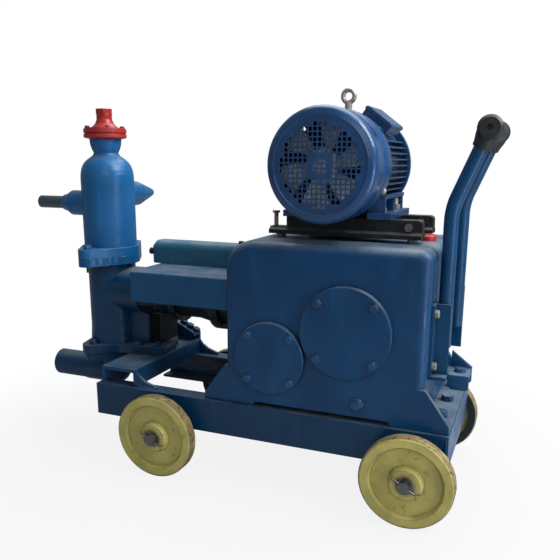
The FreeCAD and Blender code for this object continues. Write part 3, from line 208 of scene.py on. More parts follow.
def paint(name, base, deep, pale, rough=(0.20, 0.42), grain=0.3, grime_and_shade=0.5, chips=0.5, dust_and_sheen=0.35,
          gloss=0.28, upper=(), inside=None, dust_and_sheen_colour=(0.19, 0.22, 0.235), shaded_beyond=None, slope=0.55):
    """Brushed-on machine enamel: mottled, runs, orange peel, worn edges, dusty tops with painted
    sheen, grimy corners with painted shade.

    upper lists (height, colour) for what lies above a height, inside the two distances from the
    centre plane between which it darkens with painted shade, shaded_beyond the x and z past which
    it turns to dark, glossless painted shade.
    """
    material, tree, shader = new_material(name)
    shader.inputs["Specular IOR Level"].default_value = gloss
    colour = blend_colour(tree, noise(tree, 7.0, 0.35, 0.7), base, deep)
    for above, finish in upper:
        colour = blend_colour(
            tree, span(tree, position(tree, "Z"), above, above + 0.001), colour, finish)
    runs = times(tree, noise(tree, 26.0, 0.5, 0.75, (1, 1, 0.18)), 0.6)
    colour = blend_colour(tree, runs, colour, pale)
    # pale on what faces up: dust mixed with painted sheen
    dust_and_sheen_mask = times(tree, upward(tree, slope), noise(tree, 16.0, 0.05, 0.80))
    colour = blend_colour(tree, times(tree, dust_and_sheen_mask, dust_and_sheen), colour, dust_and_sheen_colour)
    # painted shade on faces near the centre plane that do not face up
    if inside is not None:
        shut = math_node(tree, "SUBTRACT", 1.0, upward(tree))
        colour = blend_colour(tree, times(tree, inward(tree, *inside), shut), colour, SHADED)
    # painted shade: past an x and a z the paint turns dark and loses its gloss
    if shaded_beyond is not None:
        x, z = shaded_beyond
        shaded_zone = times(tree, span(tree, position(tree, "X"), x, x + 0.012),
                     span(tree, position(tree, "Z"), z, z + 0.004))
        colour = blend_colour(tree, shaded_zone, colour, ZONE_SHADE)
        tree.links.new(
            span(tree, shaded_zone, 0.0, 1.0, gloss, 0.03), shader.inputs["Specular IOR Level"])
    # painted shade mixed with grime: darker in corners and gaps, where shade falls
    dark = times(tree, crevice(tree, 0.02), noise(tree, 30.0, 0.25, 0.6))
    colour = blend_colour(tree, times(tree, dark, grime_and_shade), colour, GRIME_AND_SHADE)
    edges, soft = edge_mask(tree, 0.0022)
    worn = times(tree, edges, noise(tree, 48.0, 0.52, 0.66, detail=8.0))
    specks = times(tree, noise(tree, 210.0, 0.70, 0.76, detail=2.0), 0.35)
    bare = times(tree, math_node(tree, "MAXIMUM", worn, specks), chips)
    colour = blend_colour(tree, bare, colour, CHIPPED)
    tree.links.new(colour, shader.inputs["Base Color"])
    uneven = math_node(tree, "MAXIMUM", noise(tree, 11.0, 0.3, 0.75), dust_and_sheen_mask)
    base_rough = span(tree, uneven, 0.0, 1.0, *rough)
    tree.links.new(
        math_node(tree, "MAXIMUM", base_rough, times(tree, bare, 0.75)), shader.inputs["Roughness"])
    add_bump(tree, shader, [
        (noise(tree, 55.0, 0.2, 0.8, detail=3.0), grain, 0.0016),
        (noise(tree, 320.0, 0.2, 0.8, detail=2.0), 0.12, 0.0004),
        (noise(tree, 15.0, 0.2, 0.8, (1, 1, 0.25), detail=1.0), 0.10, 0.004),
    ], soft)
    return material


def metal(name, base, rust, rough=(0.3, 0.55), metallic=0.9, amount=0.7):
    """Handled or rusting steel."""
    material, tree, shader = new_material(name)
    patches = times(tree, noise(tree, 42.0, 0.45, 0.7, detail=8.0), amount)
    shade = blend_colour(tree, noise(tree, 130.0, 0.3, 0.7), base, tuple(0.7 * c for c in base))
    tree.links.new(blend_colour(tree, patches, shade, rust), shader.inputs["Base Color"])
    tree.links.new(math_node(tree, "SUBTRACT", metallic, patches), shader.inputs["Metallic"])
    tree.links.new(span(tree, patches, 0.0, 1.0, *rough), shader.inputs["Roughness"])
    add_bump(tree, shader, [
        (noise(tree, 300.0, 0.2, 0.8), 0.2, 0.0004),
        (patches, 0.3, 0.0004),
    ], edge_mask(tree, 0.0006)[1])
    return material


def moulded(name, base, worn, rough=(0.45, 0.7)):
    """Plastic or rubber with scuffs and a fine grain."""
    material, tree, shader = new_material(name)
    scuffs = noise(tree, 60.0, 0.5, 0.72, detail=6.0)
    tree.links.new(blend_colour(tree, scuffs, base, worn), shader.inputs["Base Color"])
    tree.links.new(span(tree, scuffs, 0.0, 1.0, *rough), shader.inputs["Roughness"])
    add_bump(
        tree, shader, [(noise(tree, 420.0, 0.2, 0.8), 0.15, 0.0004)], edge_mask(tree, 0.001)[1])
    return material


# distances from the centre plane where painted shade on the wheels' inner faces begins and is full
WHEEL_BACK_SHADE = (0.1988, 0.1965)
TREAD = (0.0965, 0.0990)
HUB = (0.030, 0.017)


def wheel_paint(name):
    """Cream paint on cast iron: grimy web hollows with painted shade, painted shade on the inner
    face, dark rolled tread, rust at the hub.
    """
    material, tree, shader = new_material(name)
    shader.inputs["Specular IOR Level"].default_value = 0.25
    colour = blend_colour(
        tree, noise(tree, 14.0, 0.3, 0.7), (0.55, 0.465, 0.142), (0.41, 0.345, 0.105))
    stains = times(tree, noise(tree, 75.0, 0.55, 0.75, detail=8.0), 0.55)
    colour = blend_colour(tree, stains, colour, (0.16, 0.125, 0.06))
    # painted shade mixed with grime: darker in the web's hollows
    dark = times(tree, crevice(tree, 0.018), noise(tree, 40.0, 0.2, 0.55))
    colour = blend_colour(tree, times(tree, dark, 0.85), colour, (0.045, 0.030, 0.018))
    edges, soft = edge_mask(tree, 0.0030)
    rubbed = times(tree, edges, noise(tree, 45.0, 0.28, 0.52, detail=8.0))
    colour = blend_colour(tree, times(tree, rubbed, 0.8), colour, (0.085, 0.052, 0.030))
    # painted shade on the inner face of each wheel
    colour = blend_colour(tree, inward(tree, *WHEEL_BACK_SHADE), colour, (0.012, 0.021, 0.022))
    reach = from_axle(tree)
    rolled = times(tree, span(tree, reach, *TREAD), noise(tree, 38.0, 0.15, 0.52, detail=8.0))
    colour = blend_colour(tree, times(tree, rolled, 0.85), colour, (0.17, 0.105, 0.062))
    spots = times(tree, rolled, noise(tree, 120.0, 0.55, 0.68, detail=4.0))
    colour = blend_colour(tree, spots, colour, (0.030, 0.024, 0.020))
    hub = times(tree, span(tree, reach, *HUB), noise(tree, 50.0, 0.2, 0.6))
    colour = blend_colour(tree, times(tree, hub, 0.6), colour, (0.10, 0.075, 0.045))
    tree.links.new(colour, shader.inputs["Base Color"])
    tree.links.new(noise(tree, 60.0, 0.0, 1.0), shader.inputs["Roughness"])
    add_bump(tree, shader, [
        (noise(tree, 90.0, 0.2, 0.8), 0.35, 0.0012),
        (noise(tree, 400.0, 0.2, 0.8), 0.2, 0.0005),
    ], soft)
    return material


# The heights where the valve chest and its studs change colour: lower flange, joint, upper flange
LOWER_FLANGE_Z = 0.40
CHEST_JOINT_Z = 0.4751
UPPER_FLANGE_Z = 0.4975

NAVY = paint(
    "navy_enamel", (0.0034, 0.050, 0.132), (0.0028, 0.038, 0.102), (0.006, 0.066, 0.165),
    dust_and_sheen=0.6, grain=0.15, rough=(0.26, 0.46))
# painted shade on the inner faces of the rails
RAIL_NAVY = paint(
    "rail_enamel", (0.0034, 0.038, 0.096), (0.0028, 0.029, 0.076), (0.007, 0.052, 0.126),
    dust_and_sheen=0.35, inside=(0.1725, 0.168))
# slope 0.2 spreads the pale dust and painted sheen onto the rounded top edges, a painted highlight
CAST_NAVY = paint(
    "navy_on_casting", (0.0034, 0.048, 0.134), (0.0028, 0.037, 0.106), (0.006, 0.064, 0.166),
    grain=0.28, grime_and_shade=0.8, dust_and_sheen=0.85, gloss=0.30, rough=(0.24, 0.46), slope=0.2)
# dark, glossless painted shade past x -0.272 and above z 0.261
CHEST_BLUE = paint(
    "chest_enamel", (0.0042, 0.037, 0.094), (0.0034, 0.029, 0.074), (0.008, 0.052, 0.122),
    grain=0.35, grime_and_shade=0.9, dust_and_sheen=0.6, upper=((CHEST_JOINT_Z, (0.005, 0.070, 0.19)),),
    shaded_beyond=(-0.272, 0.261))
# strong pale dust and painted sheen on the tops
DUST_AND_SHEEN_NAVY = paint(
    "dust_and_sheen_enamel", (0.0105, 0.082, 0.190), (0.0080, 0.065, 0.155), (0.018, 0.078, 0.155),
    grain=0.4, dust_and_sheen=0.9, dust_and_sheen_colour=(0.12, 0.13, 0.148), rough=(0.3, 0.6), gloss=0.25)
TANK_BLUE = paint(
    "tank_enamel", (0.0290, 0.112, 0.178), (0.0220, 0.090, 0.146), (0.034, 0.100, 0.148),
    grain=0.5, dust_and_sheen=0.9, dust_and_sheen_colour=(0.17, 0.20, 0.22), rough=(0.3, 0.6), gloss=0.25)
# near-black casting for the plunger cylinder under the guard
NEAR_BLACK_CASTING = paint(
    "near_black_casting", (0.0040, 0.012, 0.022), (0.0042, 0.0042, 0.0045), (0.008, 0.022, 0.036),
    rough=(0.25, 0.5), grain=1.0, grime_and_shade=1.0, chips=0.2, dust_and_sheen=0.3)
SKY = paint(
    "bright_enamel", (0.0055, 0.094, 0.250), (0.0040, 0.070, 0.190), (0.010, 0.14, 0.36),
    rough=(0.28, 0.44), grain=0.10, chips=0.3, gloss=0.42)
MOTOR_BLUE = paint(
    "motor_enamel", (0.0100, 0.052, 0.148), (0.0075, 0.038, 0.110), (0.018, 0.080, 0.21),
    rough=(0.14, 0.30), grain=0.2, chips=0.3, gloss=0.5)
RED = paint(
    "red_enamel", (0.36, 0.018, 0.016), (0.24, 0.011, 0.009), (0.46, 0.045, 0.038),
    rough=(0.22, 0.42), grain=0.4, grime_and_shade=0.8, chips=0.6, dust_and_sheen=0.15, gloss=0.4)
BLACK_CAST = paint(
    "black_casting", (0.013, 0.013, 0.014), (0.008, 0.008, 0.008), (0.03, 0.028, 0.026),
    rough=(0.4, 0.75), grain=1.2, chips=0.9, dust_and_sheen=0.55)
BOLT_BLUE = paint(
    "painted_bolts", (0.0045, 0.048, 0.130), (0.0035, 0.034, 0.095), (0.010, 0.072, 0.17),
    rough=(0.14, 0.3), chips=0.6, dust_and_sheen=0.1, gloss=0.5)
NUTS = paint(
    "painted_nuts", (0.008, 0.040, 0.10), (0.006, 0.03, 0.08), (0.014, 0.06, 0.14),
    rough=(0.2, 0.35), chips=0.9, dust_and_sheen=0.2, gloss=0.5,
    upper=((LOWER_FLANGE_Z, (0.085, 0.052, 0.038)), (UPPER_FLANGE_Z, (0.009, 0.085, 0.22))))
CREAM = wheel_paint("cream_wheel_paint")
STEEL = metal("oiled_steel", (0.26, 0.245, 0.22), (0.10, 0.045, 0.022))
BRIGHT = metal(
    "plated_steel", (0.50, 0.48, 0.42), (0.22, 0.17, 0.11), (0.28, 0.5), metallic=0.6, amount=0.5)
AXLE_STEEL = metal(
    "axle_steel", (0.17, 0.165, 0.155), (0.07, 0.045, 0.030), (0.25, 0.5), amount=0.5)
STUB = metal(
    "grey_pipe", (0.085, 0.105, 0.12), (0.055, 0.038, 0.028), (0.35, 0.6),
    metallic=0.55, amount=0.5)
# pale grey, raised so the fan, which gets little light behind the grille, still shows lit: painted
# light
FAN = metal(
    "fan_casting", (0.58, 0.63, 0.68), (0.30, 0.33, 0.37), (0.4, 0.6), metallic=0.2, amount=0.15)
YOKE_NUTS = metal(
    "yoke_nut_steel", (0.25, 0.27, 0.24), (0.10, 0.075, 0.05), metallic=0.5, amount=0.6)
GRIP = moulded("grip_rubber", (0.008, 0.008, 0.008), (0.022, 0.021, 0.02))
BELT = moulded("belt_rubber", (0.014, 0.014, 0.014), (0.04, 0.04, 0.038))
CAP = moulded("red_cap_plastic", (0.42, 0.015, 0.013), (0.28, 0.018, 0.014), rough=(0.3, 0.5))
PLUG = moulded("black_plastic", (0.012, 0.012, 0.013), (0.035, 0.035, 0.035))

SLOTS = {
    "enamel_dark_blue": NAVY,
    "enamel_bright_blue": SKY,
    "motor_blue": MOTOR_BLUE,
    "wheel_iron": CREAM,
    "slide_rail_black": BLACK_CAST,
    "bare_steel": STEEL,
    "red_enamel": RED,
    "grip_black": GRIP,
    "belt_rubber": BELT,
    "red_plastic": CAP,
    "black_plastic": PLUG,
}
OWN = {
    "gearbox_housing": CAST_NAVY,
    "small_bearing_cover": CAST_NAVY,
    "large_bearing_cover": CAST_NAVY,
    "gearbox_foot_bolts": CAST_NAVY,
    "valve_chest": CHEST_BLUE,
    "suction_pipe": CHEST_BLUE,
    "side_rails": RAIL_NAVY,
    "plunger_cylinder": NEAR_BLACK_CASTING,
    "plunger_guard": DUST_AND_SHEEN_NAVY,
    "rinse_tank": TANK_BLUE,
    "axle_washers_and_pins": AXLE_STEEL,
    "axles": AXLE_STEEL,
    "lifting_eye": BRIGHT,
    "motor_foot_bolts": BRIGHT,
    "pump_studs_and_nuts": NUTS,
    "delivery_stubs": STUB,
}
for part in frame["record"]["subparts"]:
    obj = nodes[part["node"]]
    finish = OWN.get(part["node"], SLOTS[part["material_slot"]])
    if not obj.data.materials:
        obj.data.materials.append(finish)
    for index in range(len(obj.data.materials)):
        obj.data.materials[index] = finish


# Geometry helpers

def piece(name, bm, material, body="machine", sharp=35.0):
    """Object from a bmesh, carried by a body."""
    mesh = bpy.data.meshes.new(name)
    bmesh.ops.recalc_face_normals(bm, faces=bm.faces)
    bm.to_mesh(mesh)
    bm.free()
    mesh.materials.append(material)
    mesh.shade_smooth()
    mesh.set_sharp_from_angle(angle=math.radians(sharp))
    obj = bpy.data.objects.new(name, mesh)
    scene.collection.objects.link(obj)
    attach(obj, body)
    return obj


def turned(at, axis):
    """Moves a shape built along +Z onto a point and an axis."""
    return Matrix.Translation(at) @ Z_AXIS.rotation_difference(axis).to_matrix().to_4x4()


def circle(k, count, radius=1.0):
    """Point k of count on a circle."""
    angle = 2 * math.pi * k / count
    return radius * math.cos(angle), radius * math.sin(angle)


def skin(bm, rings):
    """Walls between rings of equal count; a ring of one vertex makes a cone."""
    count = max(len(ring) for ring in rings)
    for a, b in zip(rings, rings[1:]):
        for i in range(count):
            j = (i + 1) % count
            corners = [a[i % len(a)], a[j % len(a)], b[j % len(b)], b[i % len(b)]]
            unique = list(dict.fromkeys(corners))
            if len(unique) > 2:
                bm.faces.new(unique)


def caps(bm, rings):
    bm.faces.new(rings[0])
    bm.faces.new(list(reversed(rings[-1])))


def lathe(bm, profile, origin, axis, segments):
    """Surface of revolution from (radius, station) points; a zero radius closes it."""
    turn = turned(origin, axis)
    rings = []
    for radius, station in profile:
        count = segments if radius > 1e-6 else 1
        rings.append([bm.verts.new(turn @ Vector((*circle(i, segments, radius), station)))
                      for i in range(count)])
    skin(bm, rings)


def bead(bm, points, radius, lean=Z_AXIS):
    """Weld bead: a rippled ridge along a polyline."""
    points = [Vector(p) for p in points]
    samples = []
    for a, b in zip(points, points[1:]):
        count = max(2, int((b - a).length / (0.45 * radius)))
        samples += [a.lerp(b, i / count) for i in range(count)]
    samples.append(points[-1])
    last = len(samples) - 1
    rings = []
    for i, at in enumerate(samples):
        ahead = (samples[min(i + 1, last)] - samples[max(i - 1, 0)]).normalized()
        side = ahead.cross(lean).normalized()
        up = side.cross(ahead)
        end = min(1.0, 0.35 + 0.4 * min(i, last - i))
        swell = radius * end * (0.86 + 0.08 * (i % 3) + rng.uniform(-0.10, 0.10))
        at = at + side * rng.uniform(-0.12, 0.12) * radius
        rings.append([bm.verts.new(at + swell * (side * c + 0.8 * up * s))
                      for c, s in (circle(k, 8) for k in range(8))])
    skin(bm, rings)
    caps(bm, rings)


def arc(bm, centre, radii, degrees, reach, steps=20):
    """Flat ring sector that faces along Y."""
    inner, outer = radii
    near, far = reach
    section = ((inner, near), (outer, near), (outer, far), (inner, far))
    start, end = degrees
    rings = []
    for i in range(steps + 1):
        turn = math.radians(start + (end - start) * i / steps)
        rings.append([
            bm.verts.new((centre.x + r * math.cos(turn), y, centre.z + r * math.sin(turn)))
            for r, y in section])
    skin(bm, rings)
    caps(bm, rings)


def slab(bm, corners, push, ease=0.0007):
    """Plate from a flat outline and its thickness, with eased edges."""
    low = [bm.verts.new(corner) for corner in corners]
    high = [bm.verts.new(Vector(corner) + Vector(push)) for corner in corners]
    skin(bm, [low, high])
    caps(bm, [low, high])
    edges = list(dict.fromkeys(edge for vert in low + high for edge in vert.link_edges))
    bmesh.ops.bevel(bm, geom=edges, offset=ease, segments=2, affect="EDGES", profile=0.5)


def hex_head(bm, at, axis, flats, height):
    """Hexagon with a chamfered crown."""
    turn = turned(at, axis)
    rings = []
    for share, station in ((1.0, 0.0), (1.0, 0.82), (0.84, 1.0)):
        rings.append([bm.verts.new(turn @ Vector((
            *circle(k, 6, share * flats / math.sqrt(3)), station * height))) for k in range(6)])
    skin(bm, rings)
    caps(bm, rings)


def islands(node):
    """Centre and half-width of each solid in a node."""
    source = bmesh.new()
    source.from_mesh(nodes[node].data)
    source.transform(nodes[node].matrix_world)
    bmesh.ops.remove_doubles(source, verts=source.verts, dist=0.00002)
    left = set(source.verts)
    found = []
    while left:
        group = [left.pop()]
        for vert in group:
            for edge in vert.link_edges:
                other = edge.other_vert(vert)
                if other in left:
                    left.remove(other)
                    group.append(other)
        low = Vector([min(v.co[k] for v in group) for k in range(3)])
        high = Vector([max(v.co[k] for v in group) for k in range(3)])
        found.append(((low + high) / 2, (high - low) / 2))
    source.free()
    return sorted(found, key=lambda item: tuple(item[0]))


# Fan cowl: pressed cup with the fine square-hole grille

COWL_FACE = -0.195
COWL_BACK = -0.067
COWL_R = 0.117
COWL_WALL = 0.0026
COWL_SEGMENTS = 96
SHEET = 0.002
SHOULDER = 0.0165
SHOULDER_STEPS = 8
DISC_R = COWL_R - SHOULDER
SKIN_R = COWL_R - 0.0002
HOLE_PITCH = 0.0101
HOLE = 0.0073
FIELD_R = 0.0815
BLANK_RING = 2          # the ring that is plain, counted in pitches from the middle
GROOVE = 0.0012
FACE_BEAD = (
    (-0.0035, 0.0004), (-0.0026, -0.0010), (-0.0012, -0.0013), (0.0008, -0.0008), (0.0026, 0.0006))
RING_R = (0.0992, COWL_R - 0.0029)
RING_Y = (-0.093, -0.0905)
RING_ARC = (49, 131)

points = [Vector(circle(i, COWL_SEGMENTS, DISC_R)) for i in range(COWL_SEGMENTS)]
edges = [(i, (i + 1) % COWL_SEGMENTS) for i in range(COWL_SEGMENTS)]
centres = []
reach = int(FIELD_R / HOLE_PITCH)
for i in range(-reach, reach + 1):
    for j in range(-reach, reach + 1):
        if math.hypot(i, j) * HOLE_PITCH > FIELD_R or max(abs(i), abs(j)) == BLANK_RING:
            continue
        centre = Vector((i * HOLE_PITCH, j * HOLE_PITCH))
        centres.append(centre)
        first = len(points)
        for corner in ((-1, -1), (1, -1), (1, 1), (-1, 1)):
            points.append(centre + Vector(corner) * HOLE / 2)
        edges += [(first + k, first + (k + 1) % 4) for k in range(4)]
verts, _, faces, _, _, _ = delaunay_2d_cdt(points, edges, [], 1, 1e-6)
bm = bmesh.new()
plate = [bm.verts.new((MOTOR.x + v.x, COWL_FACE, MOTOR.z + v.y)) for v in verts]
for face in faces:
    middle = sum((verts[i] for i in face), Vector((0, 0))) / len(face)
    if not any(abs(middle.x - c.x) < HOLE / 2 and abs(middle.y - c.y) < HOLE / 2 for c in centres):
        bm.faces.new([plate[i] for i in face])
bmesh.ops.dissolve_limit(bm, angle_limit=0.01, verts=bm.verts, edges=bm.edges)
pushed = bmesh.ops.extrude_face_region(bm, geom=list(bm.faces))
moved = [g for g in pushed["geom"] if isinstance(g, bmesh.types.BMVert)]
bmesh.ops.translate(bm, verts=moved, vec=SHEET * Y_AXIS)

face_at = Vector((MOTOR.x, COWL_FACE, MOTOR.z))
rim = []
for i in range(SHOULDER_STEPS + 1):
    turn = math.radians(90 * i / SHOULDER_STEPS)
    rim.append((SKIN_R - SHOULDER + SHOULDER * math.sin(turn), SHOULDER * (1 - math.cos(turn))))
rim += [
    (SKIN_R, 0.060), (SKIN_R - GROOVE, 0.0615), (SKIN_R - GROOVE, 0.0635), (SKIN_R, 0.065),
    (SKIN_R, COWL_BACK - COWL_FACE), (SKIN_R - COWL_WALL, COWL_BACK - COWL_FACE),
    (SKIN_R - COWL_WALL, SHOULDER), (SKIN_R - SHOULDER, SHEET)]
lathe(bm, rim, face_at, Y_AXIS, COWL_SEGMENTS)
lathe(bm, [(DISC_R + out, station) for out, station in FACE_BEAD], face_at, Y_AXIS, COWL_SEGMENTS)
for quarter in (0, 90, 180, 270):
    arc(bm, MOTOR, RING_R, [quarter + end for end in RING_ARC], RING_Y)
cowl = piece("fan_cowl_pressing", bm, MOTOR_BLUE, sharp=40)
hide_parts("fan_cowl")

SCREW_Y = -0.075
SCREW_SEAT = COWL_R - 0.0003
SCREW_DEGREES = (-27, 93, 213)
SCREW_HEAD = (
    (0, 0), (0.0085, 0), (0.0085, 0.0012), (0.0055, 0.0016), (0.0055, 0.0038), (0.0042, 0.0050),
    (0, 0.0052))

bm = bmesh.new()
for degrees in SCREW_DEGREES:
    turn = math.radians(degrees)
    outward = Vector((math.cos(turn), 0, math.sin(turn)))
    lathe(bm, SCREW_HEAD, Vector((MOTOR.x, SCREW_Y, MOTOR.z)) + outward * SCREW_SEAT, outward, 20)
piece("cowl_screws", bm, BRIGHT)


# Cooling fan: six twisted blades on a hub, with the motor shaft

FAN_Y = -0.183
FAN_BLADES = 6
HUB_R = 0.034
HUB_LEN = 0.032
SHAFT_R = 0.0138
SHAFT_END = 0.411
BLADE_ROOT = 0.031
BLADE_SPAN = 0.0585
BLADE_HALF_T = 0.0011
BLADE_MIDDLE = 0.0165
BLADE_DEPTH = 0.024
BLADE_CAMBER = 0.006
BLADE_WIDTH = 0.66      # radians round the hub
BLADE_SWEEP = 0.12
ROWS = 5
COLUMNS = 7

bm = bmesh.new()
lathe(bm, [
    (0, 0.002), (0.029, 0.002), (HUB_R, 0.006), (HUB_R, HUB_LEN), (SHAFT_R, HUB_LEN),
    (SHAFT_R, SHAFT_END - 0.001), (SHAFT_R - 0.0013, SHAFT_END), (0, SHAFT_END),
], Vector((MOTOR.x, FAN_Y, MOTOR.z)), Y_AXIS, 40)
for i in range(FAN_BLADES):
    sides = []
    for lift in (-BLADE_HALF_T, BLADE_HALF_T):
        grid = []
        for j in range(ROWS + 1):
            out = j / ROWS
            radius = BLADE_ROOT + BLADE_SPAN * out
            row = []
            for k in range(COLUMNS + 1):
                across = k / COLUMNS - 0.5
                turn = 2 * math.pi * (i + 0.25) / FAN_BLADES
                turn += BLADE_WIDTH * across + BLADE_SWEEP * out ** 2
                depth = BLADE_DEPTH * across + BLADE_CAMBER * (0.25 - across ** 2)
                row.append(bm.verts.new((
                    MOTOR.x + radius * math.cos(turn),
                    FAN_Y + BLADE_MIDDLE + depth + lift,
                    MOTOR.z + radius * math.sin(turn))))
            grid.append(row)
        for j in range(ROWS):
            for k in range(COLUMNS):
                bm.faces.new([grid[j][k], grid[j + 1][k], grid[j + 1][k + 1], grid[j][k + 1]])
        sides.append(grid)
    near, far = sides
    loop = [(0, k) for k in range(COLUMNS)] + [(j, COLUMNS) for j in range(ROWS)]
    loop += [(ROWS, k) for k in range(COLUMNS, 0, -1)] + [(j, 0) for j in range(ROWS, 0, -1)]
    for (j0, k0), (j1, k1) in zip(loop, loop[1:] + loop[:1]):
        bm.faces.new([near[j0][k0], near[j1][k1], far[j1][k1], far[j0][k0]])
fan = piece("cooling_fan", bm, FAN, body="rotor")
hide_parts("motor_rotor")


# Tow bracket: channel under the near side of the yoke, with its bolt and the yoke's nuts

WALL_X = 0.4955
CHEEK_X = 0.5315
TIP_X = 0.5755
SHELF_TOP = 0.309
SHELF_BOTTOM = 0.301
SHELF_Y = (-0.113, -0.050)
SKIRT_T = 0.007
SKIRT_Z = 0.277
SKIRT_NOSE = 0.004
SKIRT_HEEL = 0.009
GUSSET_TOP = 0.3465
GUSSET_TIP = 0.004
EAR_END_Y = -0.141
EAR_T = 0.0079
BITE = 0.0002           # how far a plate sinks into the one it stands on
GUSSET_WELD = ((0.5335, -0.0575, 0.3092), (0.5745, -0.0575, 0.3092))
CHEEK_WELD = ((0.5335, -0.1120, 0.3090), (0.5325, -0.0600, 0.3090))
TOW_AT = Vector((0.5535, -0.0830, SHELF_TOP))
TOW_SHANK_R = 0.0078
TOW_SHANK_END = -0.016
TOW_WASHER_R = 0.0125
TOW_WASHER_T = 0.0018
TOW_HEAD = (0.019, 0.0070)
YOKE_FACE_X = 0.5015
YOKE_NUT_Y = 0.1295
YOKE_NUT_Z = (0.328, 0.439)
YOKE_NUT = (0.016, 0.009)


def level_plate(bm, x, y, z, thickness):
    """Flat plate with its lower face at a height."""
    corners = [(x[0], y[0], z), (x[1], y[0], z), (x[1], y[1], z), (x[0], y[1], z)]
    slab(bm, corners, (0, 0, thickness))


def upright_plate(bm, y, corners):
    """Plate across Y from an outline in x and z."""
    slab(bm, [(x, y, z) for x, z in corners], (0, SKIRT_T, 0))


bm = bmesh.new()
skirt_top = SHELF_BOTTOM + BITE
gusset_foot = SHELF_TOP - BITE
gusset_back = CHEEK_X + BITE
level_plate(bm, (WALL_X, TIP_X), SHELF_Y, SHELF_BOTTOM, SHELF_TOP - SHELF_BOTTOM)
for y in (SHELF_Y[0], SHELF_Y[1] - SKIRT_T):
    upright_plate(bm, y, [
        (CHEEK_X, skirt_top), (TIP_X, skirt_top), (TIP_X, SKIRT_Z + SKIRT_NOSE),
        (TIP_X - SKIRT_NOSE, SKIRT_Z), (CHEEK_X + SKIRT_HEEL, SKIRT_Z),
        (CHEEK_X, SKIRT_Z + SKIRT_HEEL)])
upright_plate(bm, SHELF_Y[1] - SKIRT_T, [
    (gusset_back, gusset_foot), (TIP_X, gusset_foot), (TIP_X, SHELF_TOP + GUSSET_TIP),
    (gusset_back, GUSSET_TOP)])
level_plate(bm, (WALL_X, CHEEK_X), (SHELF_Y[0] - 0.0002, EAR_END_Y), SHELF_BOTTOM, EAR_T)
bead(bm, GUSSET_WELD, 0.0022)
bead(bm, CHEEK_WELD, 0.0024)
bracket = piece("tow_bracket_plates", bm, NAVY)
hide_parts("tow_bracket")

bm = bmesh.new()
lathe(bm, [
    (0, TOW_SHANK_END), (TOW_SHANK_R - 0.001, TOW_SHANK_END), (TOW_SHANK_R, TOW_SHANK_END + 0.001),
    (TOW_SHANK_R, 0), (TOW_WASHER_R, 0), (TOW_WASHER_R, TOW_WASHER_T), (0, TOW_WASHER_T),
], TOW_AT, Z_AXIS, 24)
hex_head(bm, TOW_AT + TOW_WASHER_T * Z_AXIS, Z_AXIS, *TOW_HEAD)
piece("tow_bolt", bm, BOLT_BLUE)

bm = bmesh.new()
for side in (-1, 1):
    for z in YOKE_NUT_Z:
        hex_head(bm, Vector((YOKE_FACE_X, side * YOKE_NUT_Y, z)), X_AXIS, *YOKE_NUT)
bolts = piece("bracket_nuts", bm, YOKE_NUTS)
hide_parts("bracket_bolts")


# Rubber sleeves of the grip, down the top of each tube

GRIP_AT = Vector((0.580, 0, 0.806))
TUBE_BEND = Vector((0.5175, 0, 0.652))
TUBE_Y = 0.097
TUBE_R = 0.0153
SLEEVE = (
    (TUBE_R, 0.041), (0.0178, 0.041), (0.0188, 0.039), (0.0198, 0.030), (0.0225, 0.020),
    (0.0235, 0.012), (TUBE_R, 0.012), (TUBE_R, 0.041))

bm = bmesh.new()
down_tube = (TUBE_BEND - GRIP_AT).normalized()
for side in (-1, 1):
    lathe(bm, SLEEVE, GRIP_AT + side * TUBE_Y * Y_AXIS, down_tube, 36)
piece("grip_sleeves", bm, GRIP)


# Cover bolts and drain plug: washers and chamfered heads on the seats of the plain ones

COVER_WASHER_T = 0.0016
COVER_WASHER = (
    (0, 0), (0.0112, 0), (0.0112, 0.0010), (0.0106, COVER_WASHER_T), (0, COVER_WASHER_T))
COVER_HEAD_FLATS = 0.0165
PLUG_FLANGE_T = 0.0070

bm = bmesh.new()
for centre, half in islands("bearing_cover_bolts"):
    seat = centre + half.y * Y_AXIS
    lathe(bm, COVER_WASHER, seat, -Y_AXIS, 24)
    height = 2 * half.y - COVER_WASHER_T
    hex_head(bm, seat - COVER_WASHER_T * Y_AXIS, -Y_AXIS, COVER_HEAD_FLATS, height)
bolts = piece("cover_bolt_heads", bm, BOLT_BLUE)
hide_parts("bearing_cover_bolts")

bm = bmesh.new()
centre, half = islands("drain_plug")[0]
seat = centre + half.y * Y_AXIS
lathe(bm, [
    (0, 0), (half.x, 0), (half.x, 0.0022), (half.x - 0.0012, 0.0034), (0.82 * half.x, 0.0038),
    (0.82 * half.x, 0.0062), (0.76 * half.x, PLUG_FLANGE_T), (0, PLUG_FLANGE_T),
], seat, -Y_AXIS, 36)
hex_head(bm, seat - PLUG_FLANGE_T * Y_AXIS, -Y_AXIS, 1.22 * half.x, 2 * half.y - PLUG_FLANGE_T)
plug = piece("drain_plug_head", bm, BOLT_BLUE)
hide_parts("drain_plug")


# Weld beads

SADDLE_X = (-0.3075, -0.2075)
SADDLE_Y = (0.1335, 0.163)
FLANGE_Y = 0.165
FLANGE_X = ((-0.205, -0.152), (-0.3075, -0.29))
BLOCK_HALF_X = 0.025
BLOCK_Y = (0.136, 0.174)
BLOCK_Z = 0.115
END_X = 0.5455
END_Y = 0.1755
END_Z = (0.118, 0.192)
TUBE_WELD_X = 0.5035
TUBE_WELD_Y = 0.110
TUBE_WELD_Z = ((0.368, 0.386), (0.438, 0.457))
YOKE_FOOT_X = (0.4965, 0.5305)
YOKE_FOOT_Y = 0.1405
YOKE_FOOT_Z = 0.3085

